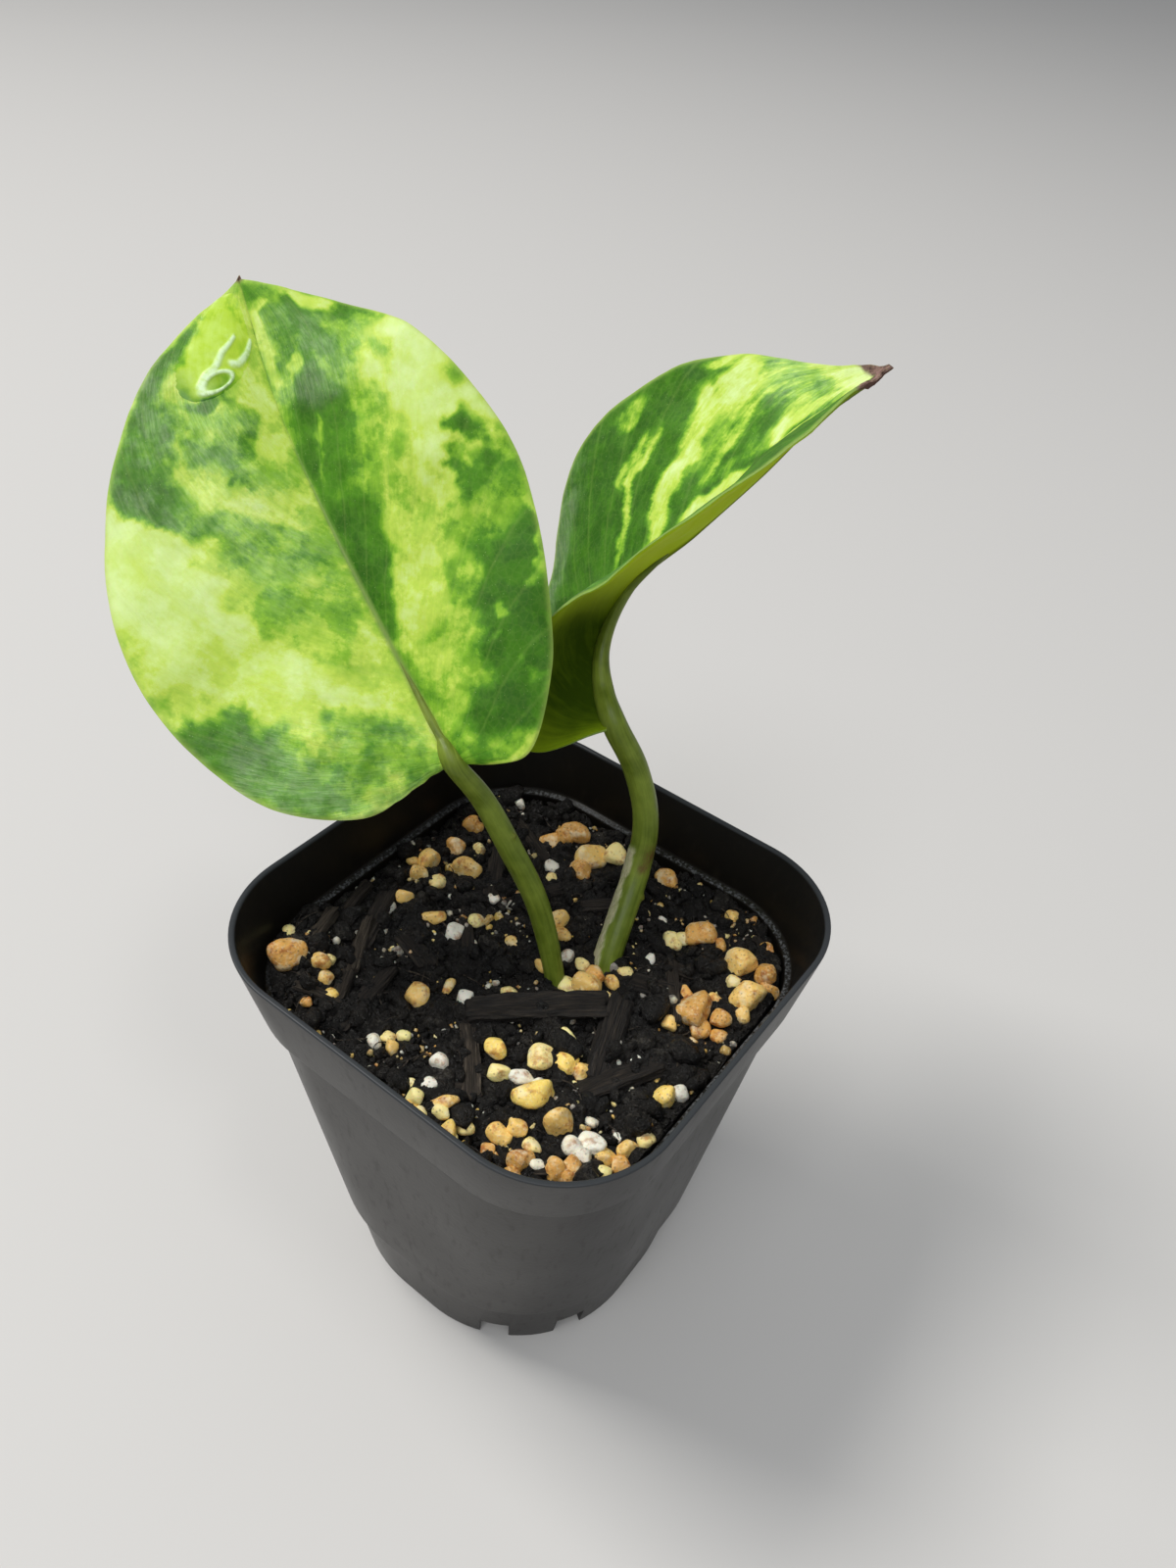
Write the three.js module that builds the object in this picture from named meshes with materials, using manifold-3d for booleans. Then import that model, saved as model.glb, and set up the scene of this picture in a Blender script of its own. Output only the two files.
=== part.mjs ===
// A young golden pothos in a small square nursery pot: a thin moulded pot, potting soil with stones and bark
// in it, a buried piece of rooted stem, and two leaf stalks that each carry one heart-shaped blade.
// Millimetres, +Z up. The origin is the middle of the pot's underside, and its sides run along X and Y.
import * as THREE from "three";
import { mergeVertices } from "three/addons/utils/BufferGeometryUtils.js";
import Module from "manifold-3d";

const wasm = await Module();
wasm.setup();

// Pot: outer sides of its rounded squares, their corner radii, and heights
const potHeight = 65.5;
const rimSide = 64;
const rimRadius = 15.5;
const bandBottom = 54.5;
const bandBottomSide = 60.6;
const bandBottomRadius = 16.5;
const bandStep = 1.2;
const footHeight = 13;
const bodyBottomSide = 50.7;
const bodyBottomRadius = 20.5;
const footStep = 0.7;
const baseSide = 46.4;
const baseRadius = 20.3;
const wall = 0.8;
const floorThickness = 1.4;
const ledgeHeight = 56.3;
const ledgeDrop = 1;
const edgeRound = 0.3;
const cornerSteps = 7;

// Drainage notches: two near each corner, cut up into the foot
const notchWidth = 4.3;
const notchHeight = 5;
const notchDepth = 7;
const notchReach = 27;
const notchFromCorner = 13;

// Soil
const gap = 0.3;
const soilTop = 55;
const soilRings = 13;
const soilRelief = 0.7;

// Lumps of the soil's surface: turns in radians for each millimetre, where they start, and the swell's share
const lumpTurnX = 0.55;
const lumpTurnY = 0.62;
const lumpStartX = 1.3;
const lumpStartY = -0.4;
const swellTurn = 0.31;
const swellStart = 2;
const swellShare = 0.6;

// Stones: how far they sink, how flat they lie, how far they reach, and how uneven their corners are
const stoneSink = 0.22;
const stoneFlatness = 0.78;
const stoneReach = 0.57;
const stoneLeast = 0.86;
const stoneMost = 1.14;
const stoneSeed = 41;

// Stones that lie on the soil, each as x, y and width
const stones = [
  [-26.5, -22.5, 4.6], [-24, 5, 3.8], [-23, 1.5, 2.6], [-19, 7.5, 4], [-20, 2.5, 2.4], [-24.5, 15.5, 3],
  [-23, 10, 3], [-15.5, -3, 2.8], [-12, -3, 3.2], [-8, -14.5, 3.4], [-3.5, -10, 2.4], [0.5, -5.5, 2.8],
  [-3, 8.5, 3.8], [2, 4.3, 2.6], [7.5, 1.6, 5], [11.5, 1, 2.4], [-7, 21, 5.2], [-4, 24, 3.6],
  [-11.5, 24, 3.6], [-13.5, 20.5, 3], [4.5, 25.5, 3.4], [13, 19, 4.4], [12, 16, 3], [21.5, 18, 4],
  [24.5, 18.5, 3.6],
  [24.5, 13.5, 4.8], [20.5, 8, 5.6], [24.5, 8.5, 2.6], [5, -14, 3], [10.5, -6.5, 2.4], [10, -11.5, 3.4],
  [13, -10, 3], [15.3, -9.3, 2.8], [10, -15, 3], [13.5, -16.5, 4.6], [18, -17.5, 4.4], [-7, -21.5, 2.8],
  [2, -22.5, 2.8], [6, -24, 2.6], [13.5, -22.5, 3], [17, -24.5, 3], [21.5, -21.5, 3.8], [22.5, -17.5, 3.6],
  [25.5, -15.5, 2.6], [25.5, -6, 3.4], [-18.5, -20.5, 2.4],
];

// Bark chips, each as its two ends, width and height above the soil
const chipTilt = 0.1;
const barkChips = [
  { from: [-1.5, -12.2], to: [11.6, -0.2], width: 3.4, height: 1.8 },
  { from: [-0.6, -12.8], to: [7.2, -20.8], width: 2.2, height: 1.1 },
  { from: [12.5, 2.5], to: [17.5, -9.5], width: 3.4, height: 1.5 },
  { from: [11.8, 6.2], to: [18.2, 9.2], width: 2.8, height: 1.3 },
  { from: [-26.5, -12], to: [-23, -19.5], width: 2.2, height: 1.1 },
  { from: [-18, 14], to: [-13, 6], width: 2.2, height: 1 },
];

// Leaf stalks: the middle line from the buried stem up to the blade, and the radius along it
const leftStalk = {
  path: [[4, 0.5, 45], [3.5, 0, 55], [-1, 1, 65.5], [-5.5, 0, 74], [-9, -1.5, 81], [-11.5, -4, 86.5]],
  radius: [1.4, 1.3, 1.5, 1.55, 1.45, 1.4],
};
const rightStalk = {
  path: [[8, 3.5, 45], [7, 6.5, 55], [4.5, 15.5, 64.5], [3, 18.5, 71.5], [0, 19, 78.5], [-3.5, 18, 84.5]],
  radius: [1.8, 1.8, 1.75, 1.7, 1.65, 1.6],
};
const stalkSides = 12;
const stalkSteps = 22;

// Blades: the midrib from stalk to tip, and each margin without its two ends. Left and right are as seen on
// the upper face with the tip away from the viewer.
const leftBlade = {
  midrib: [[-12, -3.5, 86.5], [-24.5, -1, 96], [-36.5, 1.5, 106], [-48, 4.5, 116.5], [-58.5, 9, 127.5]],
  left: [
    [-15, -14, 84], [-22, -22, 84.5], [-31.5, -24.5, 89], [-40.5, -24.5, 94.5], [-48, -22, 102],
    [-53.5, -16.5, 109.5], [-57.5, -9.5, 117], [-59, -0.5, 123],
  ],
  right: [
    [-5, 2, 89.5], [-7, 8, 97], [-12, 13, 103.5], [-18, 17, 110], [-24.5, 19, 116.5], [-33, 19.5, 122],
    [-42, 18.5, 125.5], [-50.5, 14, 127],
  ],
  cup: 1.4,
  wave: 0.5,
  waves: 3,
};
const rightBlade = {
  midrib: [
    [-3.5, 18, 84.5], [-10, 23.5, 90.5], [-9.5, 28, 99], [-4, 32, 106.5], [1.5, 37, 113.5], [5.5, 43.5, 120],
    [9, 50.5, 126.5],
  ],
  left: [
    [-14, 20.5, 81.5], [-22, 27, 85.5], [-26.5, 34, 92], [-29.5, 39.5, 100.5], [-28.5, 45, 109.5],
    [-22, 49, 117], [-12.5, 50.5, 122], [-2, 51, 124],
  ],
  right: [
    [-9, 8, 81.5], [-14.5, 7.5, 89], [-12.5, 12, 98], [-6, 14.5, 105.5], [1, 16, 113], [7, 20, 120],
    [9, 29.5, 124], [9, 39.5, 125.5],
  ],
  cup: -0.8,
  wave: 0.4,
  waves: 2,
};
const bladeThickness = 0.7;
const bladeRows = 26;
const bladeColumns = 7;
const rowSweep = 1.25;
const heelHalf = 1.3;
const tipHalf = 0.35;

// Midrib below the blade: half its width at the heel, past the heel and at the tip, where the heel's extra
// width fades, its depth for each half width, and the most of a row that it takes up
const ribHalfAtHeel = 1.3;
const ribHalfPastHeel = 0.7;
const ribHalfAtTip = 0.4;
const ribFade = 0.12;
const ribDepth = 1.2;
const ribMostShare = 0.35;

// Buried stem and its roots
const stemPath = [[-5, -3, 41], [2, 0.5, 43.5], [8, 3.5, 43], [14, 8, 39]];
const stemRadius = 2.6;
const stemSides = 10;
const stemSteps = 10;
const rootRadii = [0.9, 0.63, 0.36];
const rootSides = 6;
const rootSteps = 8;
const roots = [
  [[-2, -1.5, 42], [-6, -7, 34], [-13, -10, 26], [-15, -15, 18]],
  [[2, 0.5, 43], [3, -6, 35], [1, -13, 26], [6, -17, 16]],
  [[5, 2, 43], [4, 4, 33], [-3, 9, 24], [-4, 15, 14]],
  [[9, 4, 43], [14, -1, 34], [16, -8, 26], [13, -12, 17]],
  [[11, 6, 41], [13, 12, 33], [10, 17, 24], [14, 15, 14]],
];

// Steady random numbers from a seed, 0 to 1
function seededRandom(seed) {
  let state = seed;
  return () => {
    state = (state * 1664525 + 1013904223) % 4294967296;
    return state / 4294967296;
  };
}

// A point of three numbers as a vector
function vector(point) {
  return new THREE.Vector3(...point);
}

// A smooth curve through points of three numbers
function curveThrough(points) {
  return new THREE.CatmullRomCurve3(points.map(vector), false, "catmullrom");
}

// The value at share s, 0 to 1, between evenly spaced values
function valueAlong(values, s) {
  const place = s * (values.length - 1);
  const k = Math.min(Math.floor(place), values.length - 2);
  return THREE.MathUtils.lerp(values[k], values[k + 1], place - k);
}

// The points of a square with rounded corners at height z, counter-clockwise seen from above
function roundedSquare(side, radius, z) {
  const half = side / 2 - radius;
  const points = [];
  for (let corner = 0; corner < 4; corner++) {
    const turn = (corner * Math.PI) / 2;
    const centre = new THREE.Vector2(half, half).rotateAround(new THREE.Vector2(), turn);
    for (let step = 0; step <= cornerSteps; step++) {
      const angle = turn + (step / cornerSteps) * (Math.PI / 2);
      const [x, y] = [centre.x + radius * Math.cos(angle), centre.y + radius * Math.sin(angle)];
      points.push(new THREE.Vector3(x, y, z));
    }
  }
  return points;
}

// A closed surface over rings of equally many points, with a fan from the middle at each end
function loft(rings) {
  const count = rings[0].length;
  const points = rings.flat();
  const faces = [];
  for (let ring = 0; ring + 1 < rings.length; ring++) {
    for (let i = 0; i < count; i++) {
      const next = (i + 1) % count;
      const a = ring * count + i;
      const b = ring * count + next;
      faces.push(a, b, b + count, a, b + count, a + count);
    }
  }
  const middle = (ring) => ring.reduce((sum, p) => sum.add(p), new THREE.Vector3()).divideScalar(count);
  const first = points.push(middle(rings[0])) - 1;
  const last = points.push(middle(rings.at(-1))) - 1;
  const lastStart = (rings.length - 1) * count;
  for (let i = 0; i < count; i++) {
    const next = (i + 1) % count;
    faces.push(first, next, i);
    faces.push(last, lastStart + i, lastStart + next);
  }
  return new THREE.BufferGeometry().setFromPoints(points).setIndex(faces);
}

// A round tube along a path, with a radius for each share of its length, and flat ends. The far end may stop
// short of the path's end.
function taperedTube(path, radii, sides, steps, grow = 0, short = 0) {
  const curve = curveThrough(path);
  const frames = curve.computeFrenetFrames(steps, false);
  const reach = 1 - short / curve.getLength();
  const rings = [];
  for (let step = 0; step <= steps; step++) {
    const centre = curve.getPointAt((step / steps) * reach);
    const radius = valueAlong(radii, step / steps) + grow;
    const ring = [];
    for (let i = 0; i < sides; i++) {
      const angle = (i / sides) * 2 * Math.PI;
      const across = frames.normals[step].clone().multiplyScalar(radius * Math.cos(angle));
      const up = frames.binormals[step].clone().multiplyScalar(radius * Math.sin(angle));
      ring.push(centre.clone().add(across).add(up));
    }
    rings.push(ring);
  }
  return loft(rings);
}

// A closed mesh as a solid that can be joined and cut
function solidFrom(geometry) {
  const bare = new THREE.BufferGeometry().setAttribute("position", geometry.getAttribute("position"));
  bare.setIndex(geometry.getIndex());
  const merged = mergeVertices(bare, 1e-4);
  const vertProperties = merged.getAttribute("position").array;
  return new wasm.Manifold(
    new wasm.Mesh({ numProp: 3, vertProperties, triVerts: new Uint32Array(merged.getIndex().array) }),
  );
}

// A solid as a mesh's geometry
function geometryFrom(solid) {
  const mesh = solid.getMesh();
  const geometry = new THREE.BufferGeometry();
  geometry.setAttribute("position", new THREE.BufferAttribute(mesh.vertProperties, 3));
  geometry.setIndex(new THREE.BufferAttribute(mesh.triVerts, 1));
  return geometry;
}

// The rounded square that a wall of some thickness leaves inside another
function innerRing(side, radius, z, inset = wall) {
  return roundedSquare(side - 2 * inset, radius - inset, z);
}

// One moulded piece: foot, body, outward step, band and rim outside, then the same down inside to the floor
function potGeometry() {
  const bodyTopSide = bandBottomSide - 2 * bandStep;
  const bodyTopRadius = bandBottomRadius - bandStep;
  const footTopSide = bodyBottomSide - 2 * footStep;
  const outside = [
    roundedSquare(baseSide - 2 * edgeRound, baseRadius - edgeRound, 0),
    roundedSquare(baseSide, baseRadius, edgeRound),
    roundedSquare(footTopSide, bodyBottomRadius - footStep, footHeight - edgeRound),
    roundedSquare(bodyBottomSide, bodyBottomRadius, footHeight),
    roundedSquare(bodyTopSide, bodyTopRadius, bandBottom - edgeRound),
    roundedSquare(bandBottomSide, bandBottomRadius, bandBottom),
    roundedSquare(rimSide, rimRadius, potHeight - edgeRound),
    roundedSquare(rimSide - 2 * edgeRound, rimRadius - edgeRound, potHeight),
  ];
  const inside = [
    innerRing(rimSide, rimRadius, potHeight),
    innerRing(bandBottomSide + edgeRound, bandBottomRadius, ledgeHeight + edgeRound),
    innerRing(bodyTopSide + edgeRound, bodyTopRadius, ledgeHeight),
    innerRing(bodyTopSide, bodyTopRadius, bandBottom - ledgeDrop),
    innerRing(bodyBottomSide, bodyBottomRadius, footHeight + wall),
    innerRing(footTopSide, bodyBottomRadius - footStep, footHeight - wall),
    innerRing(baseSide, baseRadius, floorThickness),
  ];
  let pot = solidFrom(loft([...outside, ...inside]));
  for (let corner = 0; corner < 4; corner++) {
    for (const side of [-1, 1]) {
      const angle = THREE.MathUtils.degToRad(45 + 90 * corner + side * notchFromCorner);
      const notch = new THREE.BoxGeometry(notchDepth, notchWidth, 2 * notchHeight);
      notch.translate(notchReach - notchDepth / 2, 0, 0).rotateZ(angle);
      pot = pot.subtract(solidFrom(notch));
    }
  }
  return geometryFrom(pot);
}

// Height of the soil's surface: low lumps on a long swell from corner to corner
function soilHeight(x, y) {
  const lump = Math.sin(lumpTurnX * x + lumpStartX) * Math.cos(lumpTurnY * y + lumpStartY);
  const swell = Math.sin(swellTurn * (x + y) + swellStart);
  return soilTop + soilRelief * (lump + swellShare * swell);
}

// The nearest place to x, y where a thing of some reach stays clear of the pot's wall
function insidePot(x, y, reach) {
  const half = bandBottomSide / 2 - bandStep - wall - gap - reach;
  const radius = bandBottomRadius - bandStep - wall - gap - reach;
  const core = half - radius;
  const out = new THREE.Vector2(Math.max(Math.abs(x) - core, 0), Math.max(Math.abs(y) - core, 0));
  const share = Math.min(1, radius / Math.max(out.length(), radius));
  const bring = (value, over) => Math.sign(value) * (Math.abs(value) - over * (1 - share));
  return [bring(x, out.x), bring(y, out.y)];
}

// A stone: a twenty-sided block with its corners moved a little, partly sunk in the soil
function stoneSolid([seenX, seenY, width], random) {
  const [x, y] = insidePot(seenX, seenY, width * stoneReach);
  const block = new THREE.IcosahedronGeometry(width / 2, 0);
  block.deleteAttribute("normal");
  block.deleteAttribute("uv");
  const stone = mergeVertices(block);
  const corners = stone.getAttribute("position");
  for (let i = 0; i < corners.count; i++) {
    const scale = THREE.MathUtils.lerp(stoneLeast, stoneMost, random());
    corners.setXYZ(i, corners.getX(i) * scale, corners.getY(i) * scale, corners.getZ(i) * scale);
  }
  stone.rotateX(random() * Math.PI).rotateZ(random() * Math.PI);
  stone.scale(1, 1, stoneFlatness);
  stone.translate(x, y, soilHeight(x, y) + width * (stoneFlatness / 2 - stoneSink));
  return solidFrom(stone);
}

// A bark chip: a block from one end to the other, tilted a little, with its lower half in the soil
function barkSolid({ from, to, width, height }) {
  const [dx, dy] = [to[0] - from[0], to[1] - from[1]];
  const [x, y] = [(from[0] + to[0]) / 2, (from[1] + to[1]) / 2];
  const chip = new THREE.BoxGeometry(Math.hypot(dx, dy), width, 2 * height);
  chip.rotateX(chipTilt).rotateZ(Math.atan2(dy, dx)).translate(x, y, soilHeight(x, y));
  return solidFrom(chip);
}

// The soil's body inside the pot, with a surface of rings that close in on the middle
function soilBody() {
  const bodyTopSide = bandBottomSide - 2 * bandStep;
  const bodyTopRadius = bandBottomRadius - bandStep;
  const inset = wall + gap;
  const rings = [
    innerRing(baseSide, baseRadius, floorThickness + gap, inset),
    innerRing(bodyBottomSide - 2 * footStep, bodyBottomRadius - footStep, footHeight - wall, inset),
    innerRing(bodyBottomSide, bodyBottomRadius, footHeight + wall + gap, inset),
    innerRing(bodyTopSide, bodyTopRadius, bandBottom - 2 * ledgeDrop, inset),
  ];
  for (let ring = 0; ring < soilRings; ring++) {
    const share = 1 - ring / soilRings;
    const points = innerRing(bodyTopSide * share, bodyTopRadius * share, 0, inset * share);
    rings.push(points.map((p) => p.setZ(soilHeight(p.x, p.y))));
  }
  return solidFrom(loft(rings));
}

// The buried stem with its roots; grow makes the same shape fatter, for the space it fills in the soil
function stemSolid(grow = 0) {
  let solid = solidFrom(taperedTube(stemPath, [stemRadius, stemRadius], stemSides, stemSteps, grow));
  for (const path of roots) {
    solid = solid.add(solidFrom(taperedTube(path, rootRadii, rootSides, rootSteps, grow)));
  }
  return solid;
}

// A leaf stalk; grow makes the same shape fatter, for its hole in the soil and its seat in the blade's heel
function stalkSolid(stalk, grow = 0, short = 0) {
  return solidFrom(taperedTube(stalk.path, stalk.radius, stalkSides, stalkSteps, grow, short));
}

// A leaf stalk as it stands: its foot is hollowed to sit on the buried stem, and its top ends just short of
// the blade
function stalkGeometry(stalk) {
  return geometryFrom(stalkSolid(stalk, 0, gap).subtract(stemSolid(gap)));
}

// Soil with stones and bark in it, and plain holes for the stalks and for the stem and roots
function soilGeometry() {
  const random = seededRandom(stoneSeed);
  let soil = soilBody();
  for (const stone of stones) soil = soil.add(stoneSolid(stone, random));
  for (const chip of barkChips) soil = soil.add(barkSolid(chip));
  soil = soil.subtract(stemSolid(gap));
  for (const stalk of [leftStalk, rightStalk]) soil = soil.subtract(stalkSolid(stalk, gap));
  const pieces = soil.decompose().sort((a, b) => b.volume() - a.volume());
  return geometryFrom(pieces[0]);
}

// A margin from beside the heel, round the blade, to beside the tip
function marginCurve(blade, side) {
  const heelAcross = vector(blade.right[0]).sub(vector(blade.left[0])).setLength(side * heelHalf);
  const tipAcross = vector(blade.right.at(-1)).sub(vector(blade.left.at(-1))).setLength(side * tipHalf);
  const heel = vector(blade.midrib[0]).add(heelAcross);
  const tip = vector(blade.midrib.at(-1)).add(tipAcross);
  const between = side > 0 ? blade.right : blade.left;
  return curveThrough([heel.toArray(), ...between, tip.toArray()]);
}

// Half the midrib's width at share s of the blade: wide at the stalk, narrowing fast and then slowly
function ribHalf(s) {
  const heelExtra = (ribHalfAtHeel - ribHalfPastHeel) * Math.exp(-s / ribFade);
  return THREE.MathUtils.lerp(ribHalfPastHeel, ribHalfAtTip, s) + heelExtra;
}

// One half-row of the blade's middle surface, from the midrib out to a margin. The row is straight, raised
// by the cup in its middle and by the wave at its margin, and its second point lies at the midrib's edge.
function bladeRow(blade, midrib, margin, side, s) {
  const start = midrib.getPoint(s ** rowSweep);
  const across = margin.getPoint(s).sub(start);
  const along = midrib.getTangent(s ** rowSweep);
  const up = across.clone().multiplyScalar(side).cross(along).normalize();
  const ribShare = Math.min(ribMostShare, ribHalf(s) / across.length());
  const rise = Math.min(1, 4 * s, 4 * (1 - s));
  const points = [start];
  for (let column = 1; column <= bladeColumns; column++) {
    const t = ribShare + (1 - ribShare) * ((column - 1) / (bladeColumns - 1));
    const wave = blade.wave * t * t * Math.sin(2 * Math.PI * blade.waves * s + side);
    const lift = rise * (4 * blade.cup * t * (1 - t) + wave);
    points.push(start.clone().addScaledVector(across, t).addScaledVector(up, lift));
  }
  return points;
}

// A blade of even thickness with a raised midrib below; both faces are split into the same triangles
function bladeSolid(blade) {
  const midrib = curveThrough(blade.midrib);
  const margins = [marginCurve(blade, -1), marginCurve(blade, 1)];
  const rows = [];
  for (let row = 0; row <= bladeRows; row++) {
    const s = row / bladeRows;
    const left = bladeRow(blade, midrib, margins[0], -1, s);
    const right = bladeRow(blade, midrib, margins[1], 1, s);
    rows.push([...left.slice(1).reverse(), ...right]);
  }
  const width = rows[0].length;
  const at = (row, column) =>
    rows[THREE.MathUtils.clamp(row, 0, bladeRows)][THREE.MathUtils.clamp(column, 0, width - 1)];
  const normalAt = (row, column) => {
    const across = at(row, column + 1).clone().sub(at(row, column - 1));
    const along = at(row + 1, column).clone().sub(at(row - 1, column));
    return across.cross(along).normalize();
  };
  const upper = [];
  const lower = [];
  for (let row = 0; row <= bladeRows; row++) {
    for (let column = 0; column < width; column++) {
      const normal = normalAt(row, column);
      const rib = column === bladeColumns ? ribDepth * ribHalf(row / bladeRows) : 0;
      upper.push(at(row, column).clone().addScaledVector(normal, bladeThickness / 2));
      lower.push(at(row, column).clone().addScaledVector(normal, -bladeThickness / 2 - rib));
    }
  }
  const faces = [];
  const below = upper.length;
  for (let row = 0; row < bladeRows; row++) {
    for (let column = 0; column + 1 < width; column++) {
      const a = row * width + column;
      const [b, c, d] = [a + 1, a + 1 + width, a + width];
      faces.push(a, b, c, a, c, d);
      faces.push(below + a, below + c, below + b, below + a, below + d, below + c);
    }
  }
  const edge = [];
  for (let column = 0; column < width; column++) edge.push(column);
  for (let row = 1; row <= bladeRows; row++) edge.push(row * width + width - 1);
  for (let column = width - 2; column >= 0; column--) edge.push(bladeRows * width + column);
  for (let row = bladeRows - 1; row > 0; row--) edge.push(row * width);
  edge.forEach((from, i) => {
    const to = edge[(i + 1) % edge.length];
    faces.push(to, from, below + from, to, below + from, below + to);
  });
  return solidFrom(new THREE.BufferGeometry().setFromPoints([...upper, ...lower]).setIndex(faces));
}

// A blade with its heel hollowed to seat on its stalk
function bladeGeometry(blade, stalk) {
  return geometryFrom(bladeSolid(blade).subtract(stalkSolid(stalk, gap)));
}

// Colours and shine of the plain solids
const potBlack = { color: 0x151515, roughness: 0.38, metalness: 0 };
const soilBlack = { color: 0x1d1713, roughness: 0.95, metalness: 0 };
const stalkGreen = { color: 0x6f8a33, roughness: 0.45, metalness: 0 };
const bladeGreen = { color: 0x7fb13a, roughness: 0.4, metalness: 0 };
const rootTan = { color: 0xb49a6b, roughness: 0.8, metalness: 0 };

// One named piece with its own material
function piece(name, geometry, look) {
  const mesh = new THREE.Mesh(geometry, new THREE.MeshStandardMaterial(look));
  mesh.name = name;
  return mesh;
}

const plant = new THREE.Group();
plant.add(
  piece("leaf_stalk_left", stalkGeometry(leftStalk), stalkGreen),
  piece("leaf_stalk_right", stalkGeometry(rightStalk), stalkGreen),
  piece("leaf_blade_left", bladeGeometry(leftBlade, leftStalk), bladeGreen),
  piece("leaf_blade_right", bladeGeometry(rightBlade, rightStalk), bladeGreen),
  piece("rooted_stem", geometryFrom(stemSolid()), rootTan),
);

const pottedPlant = new THREE.Group();
pottedPlant.add(piece("pot", potGeometry(), potBlack), piece("soil", soilGeometry(), soilBlack), plant);

export default pottedPlant;
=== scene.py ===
"""The looks of a young golden pothos in its pot: the pot, soil, stones, bark, stalks and marbled blades."""
import logging
import math
from dataclasses import dataclass, field
from enum import Enum

import bmesh
import bpy
import numpy as np
from mathutils import Matrix


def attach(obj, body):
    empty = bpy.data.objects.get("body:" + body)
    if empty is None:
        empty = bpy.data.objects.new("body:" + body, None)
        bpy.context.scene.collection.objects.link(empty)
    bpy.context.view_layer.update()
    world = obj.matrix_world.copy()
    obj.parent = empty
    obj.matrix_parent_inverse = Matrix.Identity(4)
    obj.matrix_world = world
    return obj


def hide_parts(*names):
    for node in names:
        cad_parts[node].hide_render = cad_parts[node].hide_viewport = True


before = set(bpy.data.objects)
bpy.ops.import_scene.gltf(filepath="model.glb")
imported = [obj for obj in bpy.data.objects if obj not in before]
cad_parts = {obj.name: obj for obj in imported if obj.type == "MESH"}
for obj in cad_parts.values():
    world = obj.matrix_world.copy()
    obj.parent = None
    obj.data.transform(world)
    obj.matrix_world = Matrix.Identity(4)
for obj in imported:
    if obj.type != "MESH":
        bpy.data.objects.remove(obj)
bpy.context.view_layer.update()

log = logging.getLogger("pothos")

Array = np.ndarray
Point = tuple[float, float, float]
Colour = tuple[float, float, float]
Material = bpy.types.Material
Socket = bpy.types.NodeSocket
Value = Socket | float | tuple

MM = 0.001
BODY = "root"
VEIN_SPACING = 0.085
VEIN_UNITS = 60
VIEW_LEFT = (-0.79, -0.6, -0.09)


# Curves, noise and grids

def catmull_rom(points: list[Point], share: Array) -> Array:
    """Points on the smooth curve through a list of points, at shares 0 to 1 of its even parameter.

    Each piece is the uniform Catmull-Rom cubic of four neighbours; past each end the neighbour is the end's
    mirror image of the next point.

    Args:
        points: The points that the curve passes through.
        share: Any array of places along the curve.

    Returns:
        The curve's points, with one more axis than share.
    """
    given = np.asarray(points, float)
    padded = np.vstack([2 * given[0] - given[1], given, 2 * given[-1] - given[-2]])
    pieces = len(given) - 1
    place = np.clip(np.asarray(share, float) * pieces, 0, pieces - 1e-9)
    first = place.astype(int)
    w = (place - first)[..., None]
    before, start, end, after = (padded[first + k] for k in range(4))
    bend = 2 * before - 5 * start + 4 * end - after
    twist = 3 * start - before - 3 * end + after
    return 0.5 * (2 * start + (end - before) * w + bend * w**2 + twist * w**3)


def unit(vectors: Array) -> Array:
    """Vectors of length one along the last axis."""
    return vectors / np.maximum(np.linalg.norm(vectors, axis=-1, keepdims=True), 1e-12)


def smooth_step(value: Array, low: float, high: float) -> Array:
    """A smooth rise from 0 at low to 1 at high: 3x² − 2x³ of the share between them."""
    share = np.clip((value - low) / (high - low), 0, 1)
    return share * share * (3 - 2 * share)


def smooth_fall(value: Array, low: float, high: float) -> Array:
    """A smooth fall from 1 at low to 0 at high, the mirror image of smooth_step."""
    return smooth_step(-value, -high, -low)


def fade(distance: Array, reach: Array | float, power: float = 2) -> Array:
    """1 at no distance, dying away past reach: exp(−(distance/reach)^power)."""
    return np.exp(-((distance / reach) ** power))


def parabola(start: Array, bend: Array, end: Array, w: Array) -> Array:
    """Points of the parabola (1−w)²·start + 2w(1−w)·bend + w²·end."""
    return (1 - w) ** 2 * start + 2 * w * (1 - w) * bend + w**2 * end


def ring_angles(count: int) -> Array:
    """Even angles round a full turn, in radians."""
    return np.linspace(0, 2 * math.pi, count, endpoint=False)


@dataclass(frozen=True)
class WaveNoise:
    """Smooth steady noise: a sum of plane waves with random directions and phases, in octaves."""

    seed: int
    octaves: int = 3
    waves: int = 12
    gain: float = 0.5

    def at(self, points: Array, frequency: float) -> Array:
        """Noise of about unit size at points.

        Each octave is the mean of sines of (direction · point · frequency + phase), scaled to unit spread;
        the next has twice the frequency and gain times the height.

        Args:
            points: Places, with their coordinates on the last axis.
            frequency: Turns in radians for each unit of length, in the first octave.

        Returns:
            One value for each place.
        """
        rng = np.random.default_rng(self.seed)
        total = np.zeros(points.shape[:-1])
        for octave in range(self.octaves):
            directions = unit(rng.normal(size=(self.waves, points.shape[-1])))
            phases = rng.uniform(0, 2 * math.pi, self.waves)
            turns = points @ directions.T * frequency * 2**octave + phases
            total += self.gain**octave * np.sin(turns).mean(axis=-1) * math.sqrt(2 * self.waves)
        return total


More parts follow.
